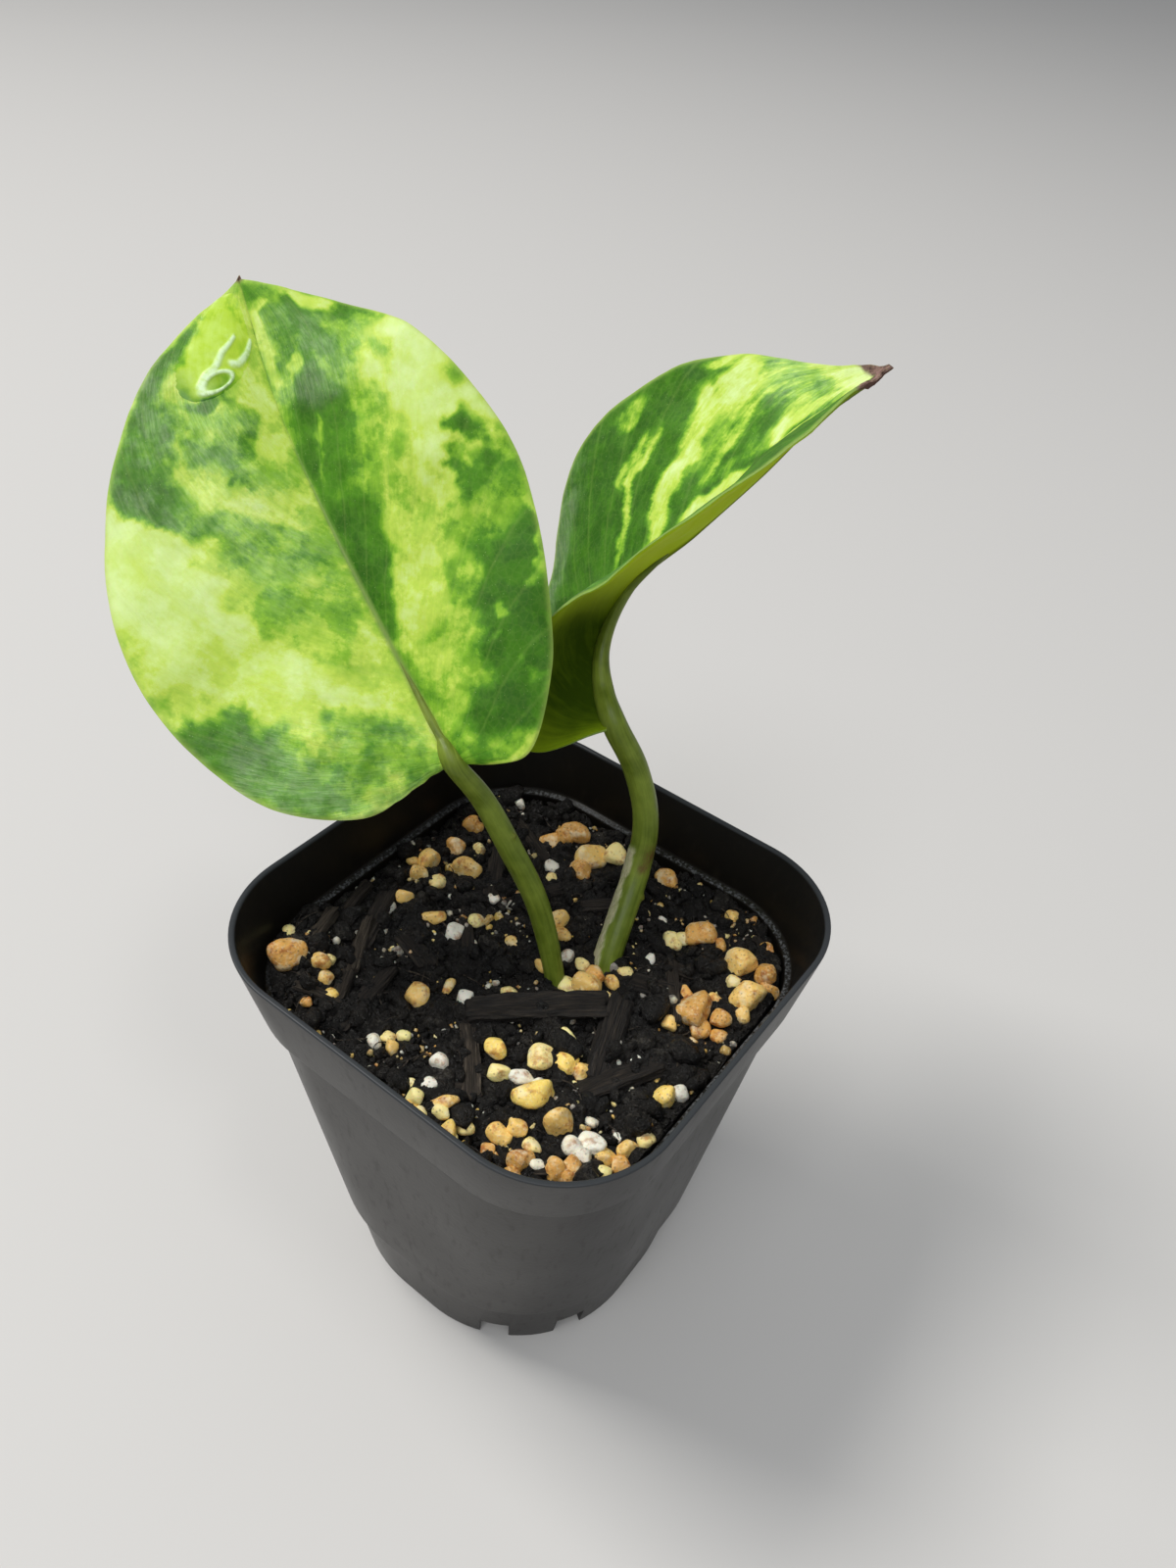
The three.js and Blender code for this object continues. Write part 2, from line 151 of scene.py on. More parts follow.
def cell_distance(points: Array, size: float, seed: float) -> Array:
    """Distance to the nearest of one random point in each square cell, in cell widths.

    A cell's random point is the cell's corner plus the fraction of a large sine of it.

    Args:
        points: Places in a plane.
        size: The cells' width.
        seed: Picks another set of random points.

    Returns:
        One distance for each place.
    """
    scaled = points / size
    corner = np.floor(scaled)
    nearest = np.full(points.shape[:-1], 9.0)
    for step_x in (-1, 0, 1):
        for step_y in (-1, 0, 1):
            cell = corner + (step_x, step_y)
            mixed = cell @ np.array([[127.1, 269.5], [311.7, 183.3]]) + seed
            jitter = np.modf(np.abs(np.sin(mixed) * 43758.5453))[0]
            nearest = np.minimum(nearest, np.linalg.norm(scaled - cell - jitter, axis=-1))
    return nearest


def circle(angle: Array) -> Array:
    """Points of the unit circle at angles in radians."""
    return np.stack([np.cos(angle), np.sin(angle)], axis=-1)


def turned(x: Array, y: Array, angle: Array | float) -> tuple[Array, Array]:
    """Plane coordinates turned counter-clockwise by an angle in radians."""
    return x * np.cos(angle) - y * np.sin(angle), x * np.sin(angle) + y * np.cos(angle)


def raised(place: Array, height: Array) -> Array:
    """Places in the plane with their heights as a third coordinate."""
    return np.concatenate([place, height[..., None]], axis=-1)


def grid_faces(rows: int, columns: int, wrap: bool = False) -> Array:
    """Quads of a grid of points, counter-clockwise with rows upwards and columns to the right.

    Args:
        rows: Number of rows of points.
        columns: Number of points in a row.
        wrap: Whether the last column joins the first.

    Returns:
        Point numbers of the quads.
    """
    row, column = np.meshgrid(np.arange(rows - 1), np.arange(columns if wrap else columns - 1), indexing="ij")
    following = (column + 1) % columns
    quads = [row * columns + column, row * columns + following, (row + 1) * columns + following,
             (row + 1) * columns + column]
    return np.stack(quads, axis=-1).reshape(-1, 4)


def grid_border(rows: int, columns: int) -> Array:
    """Numbers of the points round a grid's border, counter-clockwise as grid_faces counts."""
    numbers = np.arange(rows * columns).reshape(rows, columns)
    return np.concatenate([numbers[0, :-1], numbers[:-1, -1], numbers[-1, :0:-1], numbers[:0:-1, 0]])


def fan_faces(ring: Array, middle: int) -> Array:
    """Triangles from a middle point to each side of a ring of point numbers."""
    return np.stack([np.full(len(ring), middle), ring, np.roll(ring, -1)], axis=-1)


def loft(rings: Array) -> tuple[Array, list]:
    """A closed surface over rings of points, with a fan from the mean point at each end.

    Args:
        rings: Rings × points in a ring × 3, each ring counter-clockwise seen from the last ring's side.

    Returns:
        The points, and the faces as lists of point numbers.
    """
    count, around = rings.shape[:2]
    points = np.vstack([rings.reshape(-1, 3), rings[0].mean(axis=0), rings[-1].mean(axis=0)])
    first = np.arange(around)
    low = fan_faces(first[::-1], count * around)
    high = fan_faces(first + (count - 1) * around, count * around + 1)
    faces = grid_faces(count, around, wrap=True).tolist() + low.tolist() + high.tolist()
    return points, faces


def two_faced(upper: Array, lower: Array) -> tuple[Array, list]:
    """A closed sheet of two grids of points, one over the other, with a rim that joins their borders.

    Args:
        upper: Points of the face that looks up, as rows × columns × 3.
        lower: Points under them, in the same order.

    Returns:
        The points, and the faces as lists: the upper grid's, the lower grid's and the rim's.
    """
    rows, columns = upper.shape[:2]
    count = rows * columns
    sheet, border = grid_faces(rows, columns), grid_border(rows, columns)
    rim = np.stack([border + count, np.roll(border, -1) + count, np.roll(border, -1), border], axis=-1)
    faces = sheet.tolist() + (sheet[:, ::-1] + count).tolist() + rim.tolist()
    return np.vstack([upper.reshape(-1, 3), lower.reshape(-1, 3)]), faces


def gathered(parts: list[tuple[Array, list]]) -> tuple[Array, list]:
    """Separate surfaces as one, each part's faces numbered on from the points before it.

    Args:
        parts: Points and faces of each surface.

    Returns:
        All the points, and all the faces.
    """
    points, faces, count = [], [], 0
    for made, skin in parts:
        points.append(made)
        faces += [[number + count for number in face] for face in skin]
        count += len(made)
    return np.vstack(points), faces


def with_ends(values: Array) -> Array:
    """Values on rings in a row, then the first and last again for the two points that loft adds."""
    flat = values.reshape(-1, *values.shape[2:])
    return np.concatenate([flat, flat[:1], flat[-1:]])


def for_both_faces(values: dict[str, Array]) -> dict[str, Array]:
    """Values for the points of one face of a sheet, given to its other face as well."""
    return {label: np.concatenate([value, value]) for label, value in values.items()}


def ball(subdivisions: int) -> tuple[Array, Array]:
    """Directions and triangles of an even ball of triangles.

    Args:
        subdivisions: 1 for twenty faces, and four times as many for each one more.

    Returns:
        Unit vectors and triangles of their numbers.
    """
    mesh = bmesh.new()
    bmesh.ops.create_icosphere(mesh, subdivisions=subdivisions, radius=1)
    directions = np.array([v.co[:] for v in mesh.verts])
    triangles = np.array([[v.index for v in face.verts] for face in mesh.faces])
    mesh.free()
    return unit(directions), triangles


def random_turns(rng: np.random.Generator, count: int) -> Array:
    """Random turning matrices, from the orthogonal part of random matrices, none of them mirroring."""
    turns, _ = np.linalg.qr(rng.normal(size=(count, 3, 3)))
    turns[:, :, 0] *= np.sign(np.linalg.det(turns))[:, None]
    return turns


def add_object(name: str, data: bpy.types.ID | None) -> bpy.types.Object:
    """Puts a mesh, light or camera into the scene, at the origin."""
    made = bpy.data.objects.new(name, data)
    bpy.context.scene.collection.objects.link(made)
    return made


def axes_at(place: Point, right: Array, up: Array, back: Array) -> Matrix:
    """A place in millimetres and three axes, as an object's matrix."""
    axes = Matrix(np.column_stack([right, up, back]).tolist())
    return Matrix.Translation(np.array(place) * MM) @ axes.to_4x4()


def add_attribute(mesh: bpy.types.Mesh, label: str, values: Array) -> None:
    """Gives each point of a mesh something that its finish reads.

    Args:
        mesh: The mesh.
        label: The attribute's name.
        values: One number, vector of three or colour of four for each point.
    """
    kinds = {1: ("FLOAT", "value"), 3: ("FLOAT_VECTOR", "vector"), 4: ("FLOAT_COLOR", "color")}
    kind, member = kinds[1 if values.ndim == 1 else values.shape[-1]]
    layer = mesh.attributes.new(label, kind, "POINT")
    layer.data.foreach_set(member, np.ascontiguousarray(values, np.float32).ravel())


def place_piece(name: str, points: Array, faces: list, material: Material,
                attributes: dict[str, Array] | None = None, replaces: str | None = None) -> bpy.types.Object:
    """Puts a finished surface into the scene as a piece that rides on the plant's body.

    Args:
        name: The piece's name.
        points: Points in millimetres.
        faces: Faces as lists of point numbers.
        material: The piece's finish.
        attributes: Values for the finish, by name.
        replaces: The solid that this piece stands for.

    Returns:
        The new object.
    """
    mesh = bpy.data.meshes.new(name)
    mesh.from_pydata((points * MM).tolist(), [], faces)
    for label, values in (attributes or {}).items():
        add_attribute(mesh, label, values)
    mesh.validate()
    mesh.shade_smooth()
    mesh.materials.append(material)
    piece = add_object(name, mesh)
    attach(piece, BODY)
    if replaces:
        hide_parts(replaces)
    log.info("%s: %d faces", name, len(mesh.polygons))
    return piece


# Finishes

class Graph:
    """A material's node tree, with a short call for each kind of node that the finishes use."""

    def __init__(self, name: str) -> None:
        """Starts a material with one Principled shader.

        Args:
            name: The material's name.
        """
        self.material = bpy.data.materials.new(name)
        self.material.use_nodes = True
        self.tree = self.material.node_tree
        self.shader = self.tree.nodes["Principled BSDF"]

    def node(self, kind: str, inputs: dict, **settings: object) -> bpy.types.Node:
        """Adds a node.

        Args:
            kind: The node's type name.
            inputs: For each input's name or number, a constant or the socket that feeds it.
            **settings: The node's own options.

        Returns:
            The node.
        """
        made = self.tree.nodes.new(kind)
        for option, value in settings.items():
            setattr(made, option, value)
        for socket, value in inputs.items():
            if isinstance(value, Socket):
                self.tree.links.new(value, made.inputs[socket])
            else:
                made.inputs[socket].default_value = value
        return made

    def attribute(self, name: str, member: str = "Fac") -> Socket:
        """A value that the mesh carries for each point."""
        return self.node("ShaderNodeAttribute", {}, attribute_name=name).outputs[member]

    def place(self) -> Socket:
        """The surface point's place in metres."""
        return self.node("ShaderNodeTexCoord", {}).outputs["Object"]

    def stretched(self, vector: Socket, scale: Point) -> Socket:
        """A vector multiplied axis by axis."""
        return self.node("ShaderNodeVectorMath", {0: vector, 1: scale}, operation="MULTIPLY").outputs[0]

    def noise(self, vector: Socket, scale: float, detail: float = 3, roughness: float = 0.55,
              distortion: float = 0) -> Socket:
        """Cloudy noise, 0 to 1 with a mean of a half."""
        inputs = dict(Vector=vector, Scale=scale, Detail=detail, Roughness=roughness, Distortion=distortion)
        return self.node("ShaderNodeTexNoise", inputs).outputs["Fac"]

    def cells(self, vector: Socket, scale: float, feature: str = "F1") -> Socket:
        """Distance in a pattern of cells."""
        inputs = dict(Vector=vector, Scale=scale)
        return self.node("ShaderNodeTexVoronoi", inputs, feature=feature).outputs["Distance"]

    def math(self, operation: str, first: Value, second: Value, clamp: bool = False) -> Socket:
        """One sum on numbers, held between 0 and 1 where clamp says so."""
        inputs = {0: first, 1: second}
        return self.node("ShaderNodeMath", inputs, operation=operation, use_clamp=clamp).outputs[0]

    def times(self, first: Value, second: Value) -> Socket:
        """A product."""
        return self.math("MULTIPLY", first, second)

    def plus(self, first: Value, second: Value, clamp: bool = False) -> Socket:
        """A sum."""
        return self.math("ADD", first, second, clamp)

    def less(self, first: Value, second: Value, clamp: bool = False) -> Socket:
        """The first number less the second."""
        return self.math("SUBTRACT", first, second, clamp)

    def weighted(self, first: Value, first_share: float, second: Value, second_share: float) -> Socket:
        """Two numbers, each times its share, added."""
        return self.plus(self.times(first, first_share), self.times(second, second_share))

    def between(self, value: Socket, low: float, high: float, to_low: float = 0,
                to_high: float = 1) -> Socket:
        """A smooth change from to_low to to_high while value goes from low to high."""
        inputs = {"Value": value, "From Min": low, "From Max": high, "To Min": to_low, "To Max": to_high}
        return self.node("ShaderNodeMapRange", inputs, interpolation_type="SMOOTHSTEP").outputs[0]

    def ramp(self, value: Socket, stops: list[tuple[float, Colour]]) -> Socket:
        """Colours along a value.

        Args:
            value: The value, 0 to 1.
            stops: Places on it and their colours, from the lowest up.

        Returns:
            The colour's socket.
        """
        made = self.node("ShaderNodeValToRGB", {"Fac": value})
        line = made.color_ramp.elements
        while len(line) < len(stops):
            line.new(0.5)
        for stop, (position, colour) in zip(line, stops):
            stop.position = position
            stop.color = (*colour, 1)
        return made.outputs["Color"]

    def mix(self, share: Value, first: Value, second: Value, blend: str = "MIX") -> Socket:
        """Two colours mixed.

        Args:
            share: How much of the second there is.
            first: The colour at a share of 0.
            second: The colour at a share of 1, or what the first is blended with.
            blend: The way of mixing.

        Returns:
            The colour's socket.
        """
        made = self.node("ShaderNodeMix", {"Factor": share}, data_type="RGBA", blend_type=blend)
        for socket, value in (("A", first), ("B", second)):
            target = next(s for s in made.inputs if s.name == socket and s.type == "RGBA")
            if isinstance(value, Socket):
                self.tree.links.new(value, target)
            else:
                target.default_value = (*value, 1)
        return next(s for s in made.outputs if s.type == "RGBA")

    def bump(self, height: Socket, depth: float, strength: float = 1,
             under: Socket | None = None) -> Socket:
        """Fine relief.

        Args:
            height: The relief's height, 0 to 1.
            depth: Millimetres from 0 to 1.
            strength: How much of it the light shows.
            under: Relief that this one lies on.

        Returns:
            The normal's socket.
        """
        inputs = {"Height": height, "Distance": depth * MM, "Strength": strength}
        if under is not None:
            inputs["Normal"] = under
        return self.node("ShaderNodeBump", inputs).outputs["Normal"]

    def finish(self, constants: dict, **links: Socket) -> Material:
        """Sets the shader.

        Args:
            constants: Values set on the shader's own sockets.
            **links: Sockets that feed base_color, roughness or normal.

        Returns:
            The finished material.
        """
        for socket, value in constants.items():
            self.shader.inputs[socket].default_value = value
        names = {"base_color": "Base Color", "roughness": "Roughness", "normal": "Normal"}
        for key, socket in links.items():
            self.tree.links.new(socket, self.shader.inputs[names[key]])
        return self.material


@dataclass(frozen=True)
class PotPlastic:
    """Black moulded plastic: satin, with faint scuffs, a rim paler from wear and a painted highlight, and
    grey dust along the inner ledge.
    """

    black: Colour = (0.0078, 0.0066, 0.0048)
    scuffed: Colour = (0.019, 0.0155, 0.0105)
    rim_wear_and_highlight: Colour = (0.045, 0.05, 0.055)
    dust: Colour = (0.1, 0.105, 0.11)

    def material(self) -> Material:
        """Builds the finish.

        Returns:
            The finished material.
        """
        g = Graph("pot_plastic")
        place = g.place()
        cloud = g.noise(place, 60, 3)
        streaks = g.noise(g.stretched(place, (1, 1, 0.3)), 900, 3, 0.6)
        grit = g.noise(place, 2300, 2, 0.7)
        scuffs = g.between(streaks, 0.52, 0.75)
        specks = g.between(g.times(g.attribute("dust"), grit), 0.38, 0.6)
        colour = g.mix(g.times(scuffs, 0.3), self.black, self.scuffed)
        # The rim's top: a grey-blue that is partly wear and partly a painted highlight.
        colour = g.mix(g.times(g.attribute("rim"), 0.8), colour, self.rim_wear_and_highlight)
        colour = g.mix(specks, colour, self.dust)
        rough = g.plus(g.between(cloud, 0.3, 0.7, 0.31, 0.36), g.times(scuffs, 0.06))
        rough = g.plus(rough, g.times(specks, 0.4), clamp=True)
        normal = g.bump(g.noise(place, 1400, 3), 0.03, 0.5)
        return g.finish({"Specular IOR Level": 0.2}, base_color=colour, roughness=rough, normal=normal)


@dataclass(frozen=True)
class MoistSoil:
    """Moist potting soil: nearly black, browner on its crumbs, with a little wet shine."""

    deep: Colour = (0.0015, 0.0013, 0.001)
    brown: Colour = (0.007, 0.0055, 0.004)
    grey: Colour = (0.06, 0.054, 0.043)

    def material(self) -> Material:
        """Builds the finish.

        Returns:
            The finished material.
        """
        g = Graph("moist_soil")
        place = g.place()
        blotch = g.noise(place, 260, 4, 0.6)
        grain = g.noise(place, 2400, 3, 0.7)
        tone = g.weighted(blotch, 0.6, grain, 0.4)
        colour = g.ramp(tone, [(0.4, self.deep), (0.56, self.brown), (0.7, self.grey)])
        rough = g.between(g.noise(place, 1300, 2), 0.4, 0.6, 0.28, 0.95)
        normal = g.bump(grain, 0.5, 1, g.bump(g.noise(place, 900, 3), 0.6, 0.8))
        return g.finish({"Specular IOR Level": 0.36}, base_color=colour, roughness=rough, normal=normal)


@dataclass(frozen=True)
class Bark:
    """Dark wet bark with fibres along each chip."""

    dark: Colour = (0.008, 0.0068, 0.006)
    brown: Colour = (0.034, 0.026, 0.019)
    grey: Colour = (0.13, 0.105, 0.075)

    def material(self) -> Material:
        """Builds the finish.

        Returns:
            The finished material.
        """
        g = Graph("bark")
        grain = g.noise(g.stretched(g.attribute("grain", "Vector"), (0.2, 1.6, 1.6)), 1.5, 5, 0.7)
        clear = g.times(g.less(grain, 0.5), 2.2)
        tone = g.plus(g.times(g.attribute("warm"), 0.5), g.plus(clear, 0.25))
        colour = g.ramp(tone, [(0.15, self.dark), (0.6, self.brown), (1, self.grey)])
        return g.finish({"Roughness": 0.6, "Specular IOR Level": 0.35}, base_color=colour,
                        normal=g.bump(grain, 0.8, 1))


@dataclass(frozen=True)
class Pebble:
    """Small stones, each with its own tone, stained, chalky in places and darker in small pits."""

    stain: Colour = (0.42, 0.17, 0.04)
    chalk: Colour = (0.9, 0.84, 0.58)
    pit_dark: Colour = (0.05, 0.035, 0.022)

    def material(self) -> Material:
        """Builds the finish.

        Returns:
            The finished material.
        """
        g = Graph("pebble")
        place = g.place()
        tone = g.attribute("tone", "Color")
        blotch = g.noise(place, 620, 4, 0.6)
        fine = g.noise(place, 2600, 3, 0.65)
        stained = g.mix(g.between(blotch, 0.5, 0.68, 0, 0.75), tone, self.stain, "MULTIPLY")
        pale = g.between(g.noise(place, 480, 3, 0.6), 0.52, 0.68, 0, 0.55)
        light = g.mix(g.math("MAXIMUM", pale, g.between(fine, 0.52, 0.66, 0, 0.35)), stained, self.chalk)
        # Small round spots, darkened towards a dark brown.
        pits = g.between(g.cells(place, 1500), 0.12, 0.3, 0.45, 0)
        colour = g.mix(pits, light, self.pit_dark)
        rough = g.between(blotch, 0.35, 0.65, 0.42, 0.72)
        relief = g.plus(g.times(fine, 0.6), blotch)
        constants = {"Specular IOR Level": 0.5, "Subsurface Weight": 0.12, "Subsurface Scale": 0.8 * MM}
        return g.finish(constants, base_color=colour, roughness=rough, normal=g.bump(relief, 0.25, 0.8))


def green_glow(weight: float, depth: float) -> dict[str, Value]:
    """Shader constants for light that goes a little way into green tissue; the depth is in millimetres."""
    spread = (0.6, 1.0, 0.25)
    return {"Subsurface Weight": weight, "Subsurface Scale": depth * MM, "Subsurface Radius": spread}


@dataclass(frozen=True)
class LeafTissue:
    """Wax-skinned marbled leaf: yellow-green over green, cloudy along the side veins, with a dry brown tip;
    painted sheen lies on its shinier parts, and painted glints and painted shade on the water film.
    """

    deep: Colour = (0.028, 0.12, 0.003)
    green: Colour = (0.08, 0.26, 0.009)
    light: Colour = (0.24, 0.48, 0.028)
    yellow: Colour = (0.53, 0.7, 0.09)
    cream: Colour = (0.67, 0.84, 0.34)
    rib: Colour = (0.25, 0.37, 0.095)
    heel: Colour = (0.14, 0.19, 0.03)
    edge: Colour = (0.42, 0.56, 0.13)
    # Painted sheen: a grey-green added to the colour where the leaf would reflect the lamps.
    painted_sheen: Colour = (0.155, 0.165, 0.13)
    # Painted glint: the colour drawn where the water would reflect the lamps.
    glint: Colour = (0.76, 0.98, 0.6)
    dry_dark: Colour = (0.035, 0.016, 0.013)
    dry_light: Colour = (0.3, 0.19, 0.15)
    wet: Colour = (0.86, 1.0, 0.3)
    # Painted shade at the film's lower border and inside the bead.
    painted_border_shade: Colour = (0.24, 0.44, 0.08)
    vein_spacing: float = VEIN_SPACING * VEIN_UNITS

    def colour(self, g: Graph) -> Socket:
        """The upper face's colour.

        The mesh gives a tone, 0 for deep green to 1 for cream, and noise along the side veins and in clouds
        shifts it. Over its colour come the side veins, fine veins, specks, the midrib and the margin.

        Args:
            g: The material that the nodes go into.

        Returns:
            The colour's socket.
        """
        place = g.place()
        vein_place = g.attribute("vein_place", "Vector")
        wide = g.noise(g.stretched(vein_place, (1, 0.42, 1)), 0.42, 4, 0.6, 0.6)
        fine = g.noise(g.stretched(vein_place, (1, 0.3, 1)), 1.5, 3, 0.6)
        streaks = g.weighted(wide, 0.6, fine, 0.4)
        clouds = g.plus(g.noise(place, 150, 3, 0.65), g.noise(place, 480, 4, 0.65))
        tone = g.attribute("pale")
        flecks = g.between(g.noise(place, 250, 5, 0.65), 0.42, 0.58, -0.1, 0.1)
        share = g.times(g.attribute("streaky"), g.less(1, g.attribute("heel")))
        along_veins = g.times(g.less(streaks, 0.5), share)
        mottled = g.plus(along_veins, g.times(g.less(clouds, 1.0), 0.5))
        mottled = g.plus(mottled, flecks)
        swing = g.times(g.times(tone, 4), g.less(1, tone))
        mottled = g.times(mottled, g.math("MAXIMUM", swing, 0.42))
        held = g.math("MINIMUM", g.math("MAXIMUM", tone, 0.12), 0.92)
        pale = g.plus(held, mottled, clamp=True)
        tones = (self.deep, self.green, self.light, self.yellow, self.cream)
        colour = g.ramp(pale, list(zip((0.06, 0.32, 0.55, 0.77, 1), tones)))
        across = g.node("ShaderNodeSeparateXYZ", {"Vector": vein_place}).outputs[0]
        wobble = g.times(g.less(g.noise(place, 160, 2), 0.5), 1.6)
        to_vein = g.math("PINGPONG", g.plus(across, wobble), self.vein_spacing / 2)
        colour = g.mix(g.between(to_vein, 0, 0.4, 0.08, 0), colour, self.edge)
        net = g.between(g.cells(place, 1100, "DISTANCE_TO_EDGE"), 0, 0.16, 0.04, 0)
        colour = g.mix(net, colour, self.edge)
        specks = g.between(g.cells(place, 1500), 0.05, 0.1, 0.25, 0)
        colour = g.mix(specks, colour, self.cream)
        rib_tone = g.mix(g.attribute("heel"), self.rib, self.heel)
        colour = g.mix(g.times(g.attribute("rib"), 0.85), colour, rib_tone)
        return g.mix(g.times(g.attribute("edge"), 0.5), colour, self.edge)

    def material(self) -> Material:
        """Builds the finish of the upper face: smoother and with painted sheen where the mesh says so, brown
        where it says dry.

        Returns:
            The finished material.
        """
        g = Graph("leaf_tissue")
        place = g.place()
        dry, gloss_and_painted_sheen = g.attribute("dry"), g.attribute("gloss_and_painted_sheen")
        creases = g.noise(g.stretched(g.attribute("vein_place", "Vector"), (1, 0.45, 1)), 1.9, 4, 0.65)
        # Painted sheen: how much grey-green is added over the colour, broken up by creases and noise.
        painted_sheen_share = g.times(gloss_and_painted_sheen, g.between(creases, 0.38, 0.62, 0.5, 1))
        painted_sheen_share = g.times(painted_sheen_share, g.between(g.noise(place, 210, 4, 0.65), 0.38, 0.58, 0.3, 1))
        with_painted_sheen = g.mix(painted_sheen_share, self.colour(g), self.painted_sheen, "ADD")
        dry_tone = g.ramp(g.noise(place, 900, 4, 0.7), [(0.35, self.dry_dark), (0.62, self.dry_light)])
        colour = g.mix(dry, with_painted_sheen, dry_tone)
        rough = g.between(g.noise(place, 500, 3), 0.3, 0.7, 0.56, 0.64)
        rough = g.plus(rough, g.times(dry, 0.25))
        rough = g.less(rough, g.times(gloss_and_painted_sheen, 0.22), clamp=True)
        wrinkled = g.times(creases, g.plus(g.times(gloss_and_painted_sheen, 2.6), 0.5))
        relief = g.plus(g.noise(place, 420, 4, 0.6), wrinkled)
        normal = g.bump(relief, 0.08, 0.6, g.bump(g.noise(place, 2600, 2), 0.03, 0.4))
        constants = {"Specular IOR Level": 0.14, **green_glow(0.22, 0.9)}
        return g.finish(constants, base_color=colour, roughness=rough, normal=normal)

    def wet_material(self) -> Material:
        """Builds the finish under water: deeper colours, with painted shade at the border and inside the
        bead, and painted pale broken glints.

        Returns:
            The finished material.
        """
        g = Graph("wet_leaf")
        colour = g.mix(0.75, self.colour(g), self.wet, "MULTIPLY")
        # Painted shade darkens the film's lower border and the inside of the bead.
        colour = g.mix(g.attribute("shade"), colour, self.painted_border_shade, "MULTIPLY")
        broken = g.between(g.noise(g.place(), 1500, 3, 0.6), 0.35, 0.55, 0.55, 1)
        # Painted glints, broken by noise.
        colour = g.mix(g.times(g.attribute("glint"), broken), colour, self.glint)
        return g.finish({"Specular IOR Level": 0.3, "Roughness": 0.3}, base_color=colour)


@dataclass(frozen=True)
class LeafUnderside:
    """Dull olive underside: painted shade darkens its middle, and painted light coming through makes it
    yellower near the margin and on one lit strip.
    """

    # Painted shade and light: dark is the shaded middle; olive and the lit colour are painted light coming
    # through the leaf.
    dark: Colour = (0.028, 0.056, 0.0006)
    olive: Colour = (0.18, 0.27, 0.006)
    lit: Colour = (0.42, 0.56, 0.015)
    rib: Colour = (0.15, 0.2, 0.02)
    dry: Colour = (0.1, 0.055, 0.04)

    def material(self) -> Material:
        """Builds the finish.

        Returns:
            The finished material.
        """
        g = Graph("leaf_underside")
        cloud = g.noise(g.place(), 190, 4, 0.6)
        streaks = g.noise(g.stretched(g.attribute("vein_place", "Vector"), (1, 0.25, 1)), 0.8, 3, 0.6)
        uneven = g.times(g.less(g.plus(cloud, streaks), 1.0), 0.55)
        # Painted light coming through near the margin, over painted shade in the middle.
        painted_glow = g.plus(g.attribute("margin"), uneven, clamp=True)
        colour = g.mix(painted_glow, self.dark, self.olive)
        # Painted light coming through the strip under the fold.
        colour = g.mix(g.attribute("lit"), colour, self.lit)
        colour = g.mix(g.times(g.attribute("rib"), 0.8), colour, self.rib)
        colour = g.mix(g.attribute("dry"), colour, self.dry)
        return g.finish({"Specular IOR Level": 0.06, "Roughness": 0.8, **green_glow(0.2, 0.9)},
                        base_color=colour, normal=g.bump(cloud, 0.12, 0.6))


@dataclass(frozen=True)
class StalkTissue:
    """Smooth olive green stalk with fine lines along it, pale dry skin and brown scars."""

    olive: Colour = (0.1, 0.145, 0.012)
    light: Colour = (0.22, 0.29, 0.036)
    skin: Colour = (0.5, 0.48, 0.29)
    brown: Colour = (0.13, 0.06, 0.022)

    def material(self) -> Material:
        """Builds the finish.

        Returns:
            The finished material.
        """
        g = Graph("stalk_tissue")
        along = g.attribute("stalk_place", "Vector")
        lines = g.noise(g.stretched(along, (0.12, 2.2, 2.2)), 1.3, 3, 0.6)
        cloud = g.noise(along, 0.35, 3)
        tone = g.weighted(lines, 0.45, cloud, 0.6)
        colour = g.ramp(tone, [(0.38, self.olive), (0.72, self.light)])
        flaky = g.noise(g.stretched(along, (0.5, 2, 2)), 2.4, 4, 0.7)
        skin = g.times(g.attribute("skin"), g.between(flaky, 0.35, 0.55, 0.45, 1))
        colour = g.mix(skin, colour, self.skin)
        scar = g.times(g.attribute("scar"), g.between(flaky, 0.38, 0.6, 0.25, 1))
        colour = g.mix(scar, colour, self.brown)
        rough = g.plus(g.times(skin, 0.35), g.between(cloud, 0.3, 0.7, 0.34, 0.46), clamp=True)
        relief = g.plus(lines, g.times(g.times(flaky, skin), 2))
        constants = {"Specular IOR Level": 0.28, **green_glow(0.2, 1)}
        return g.finish(constants, base_color=colour, roughness=rough, normal=g.bump(relief, 0.12, 0.6))


@dataclass(frozen=True)
class RootSkin:
    """Pale brown skin of the buried stem and roots."""

    brown: Colour = (0.2, 0.12, 0.05)
    pale: Colour = (0.55, 0.42, 0.24)

    def material(self) -> Material:
        """Builds the finish.

        Returns:
            The finished material.
        """
        g = Graph("root_skin")
        place = g.place()
        grain = g.noise(g.stretched(place, (1, 1, 0.3)), 700, 4, 0.65)
        colour = g.ramp(grain, [(0.3, self.brown), (0.7, self.pale)])
        return g.finish({"Roughness": 0.75}, base_color=colour, normal=g.bump(grain, 0.3, 0.8))


# Pot

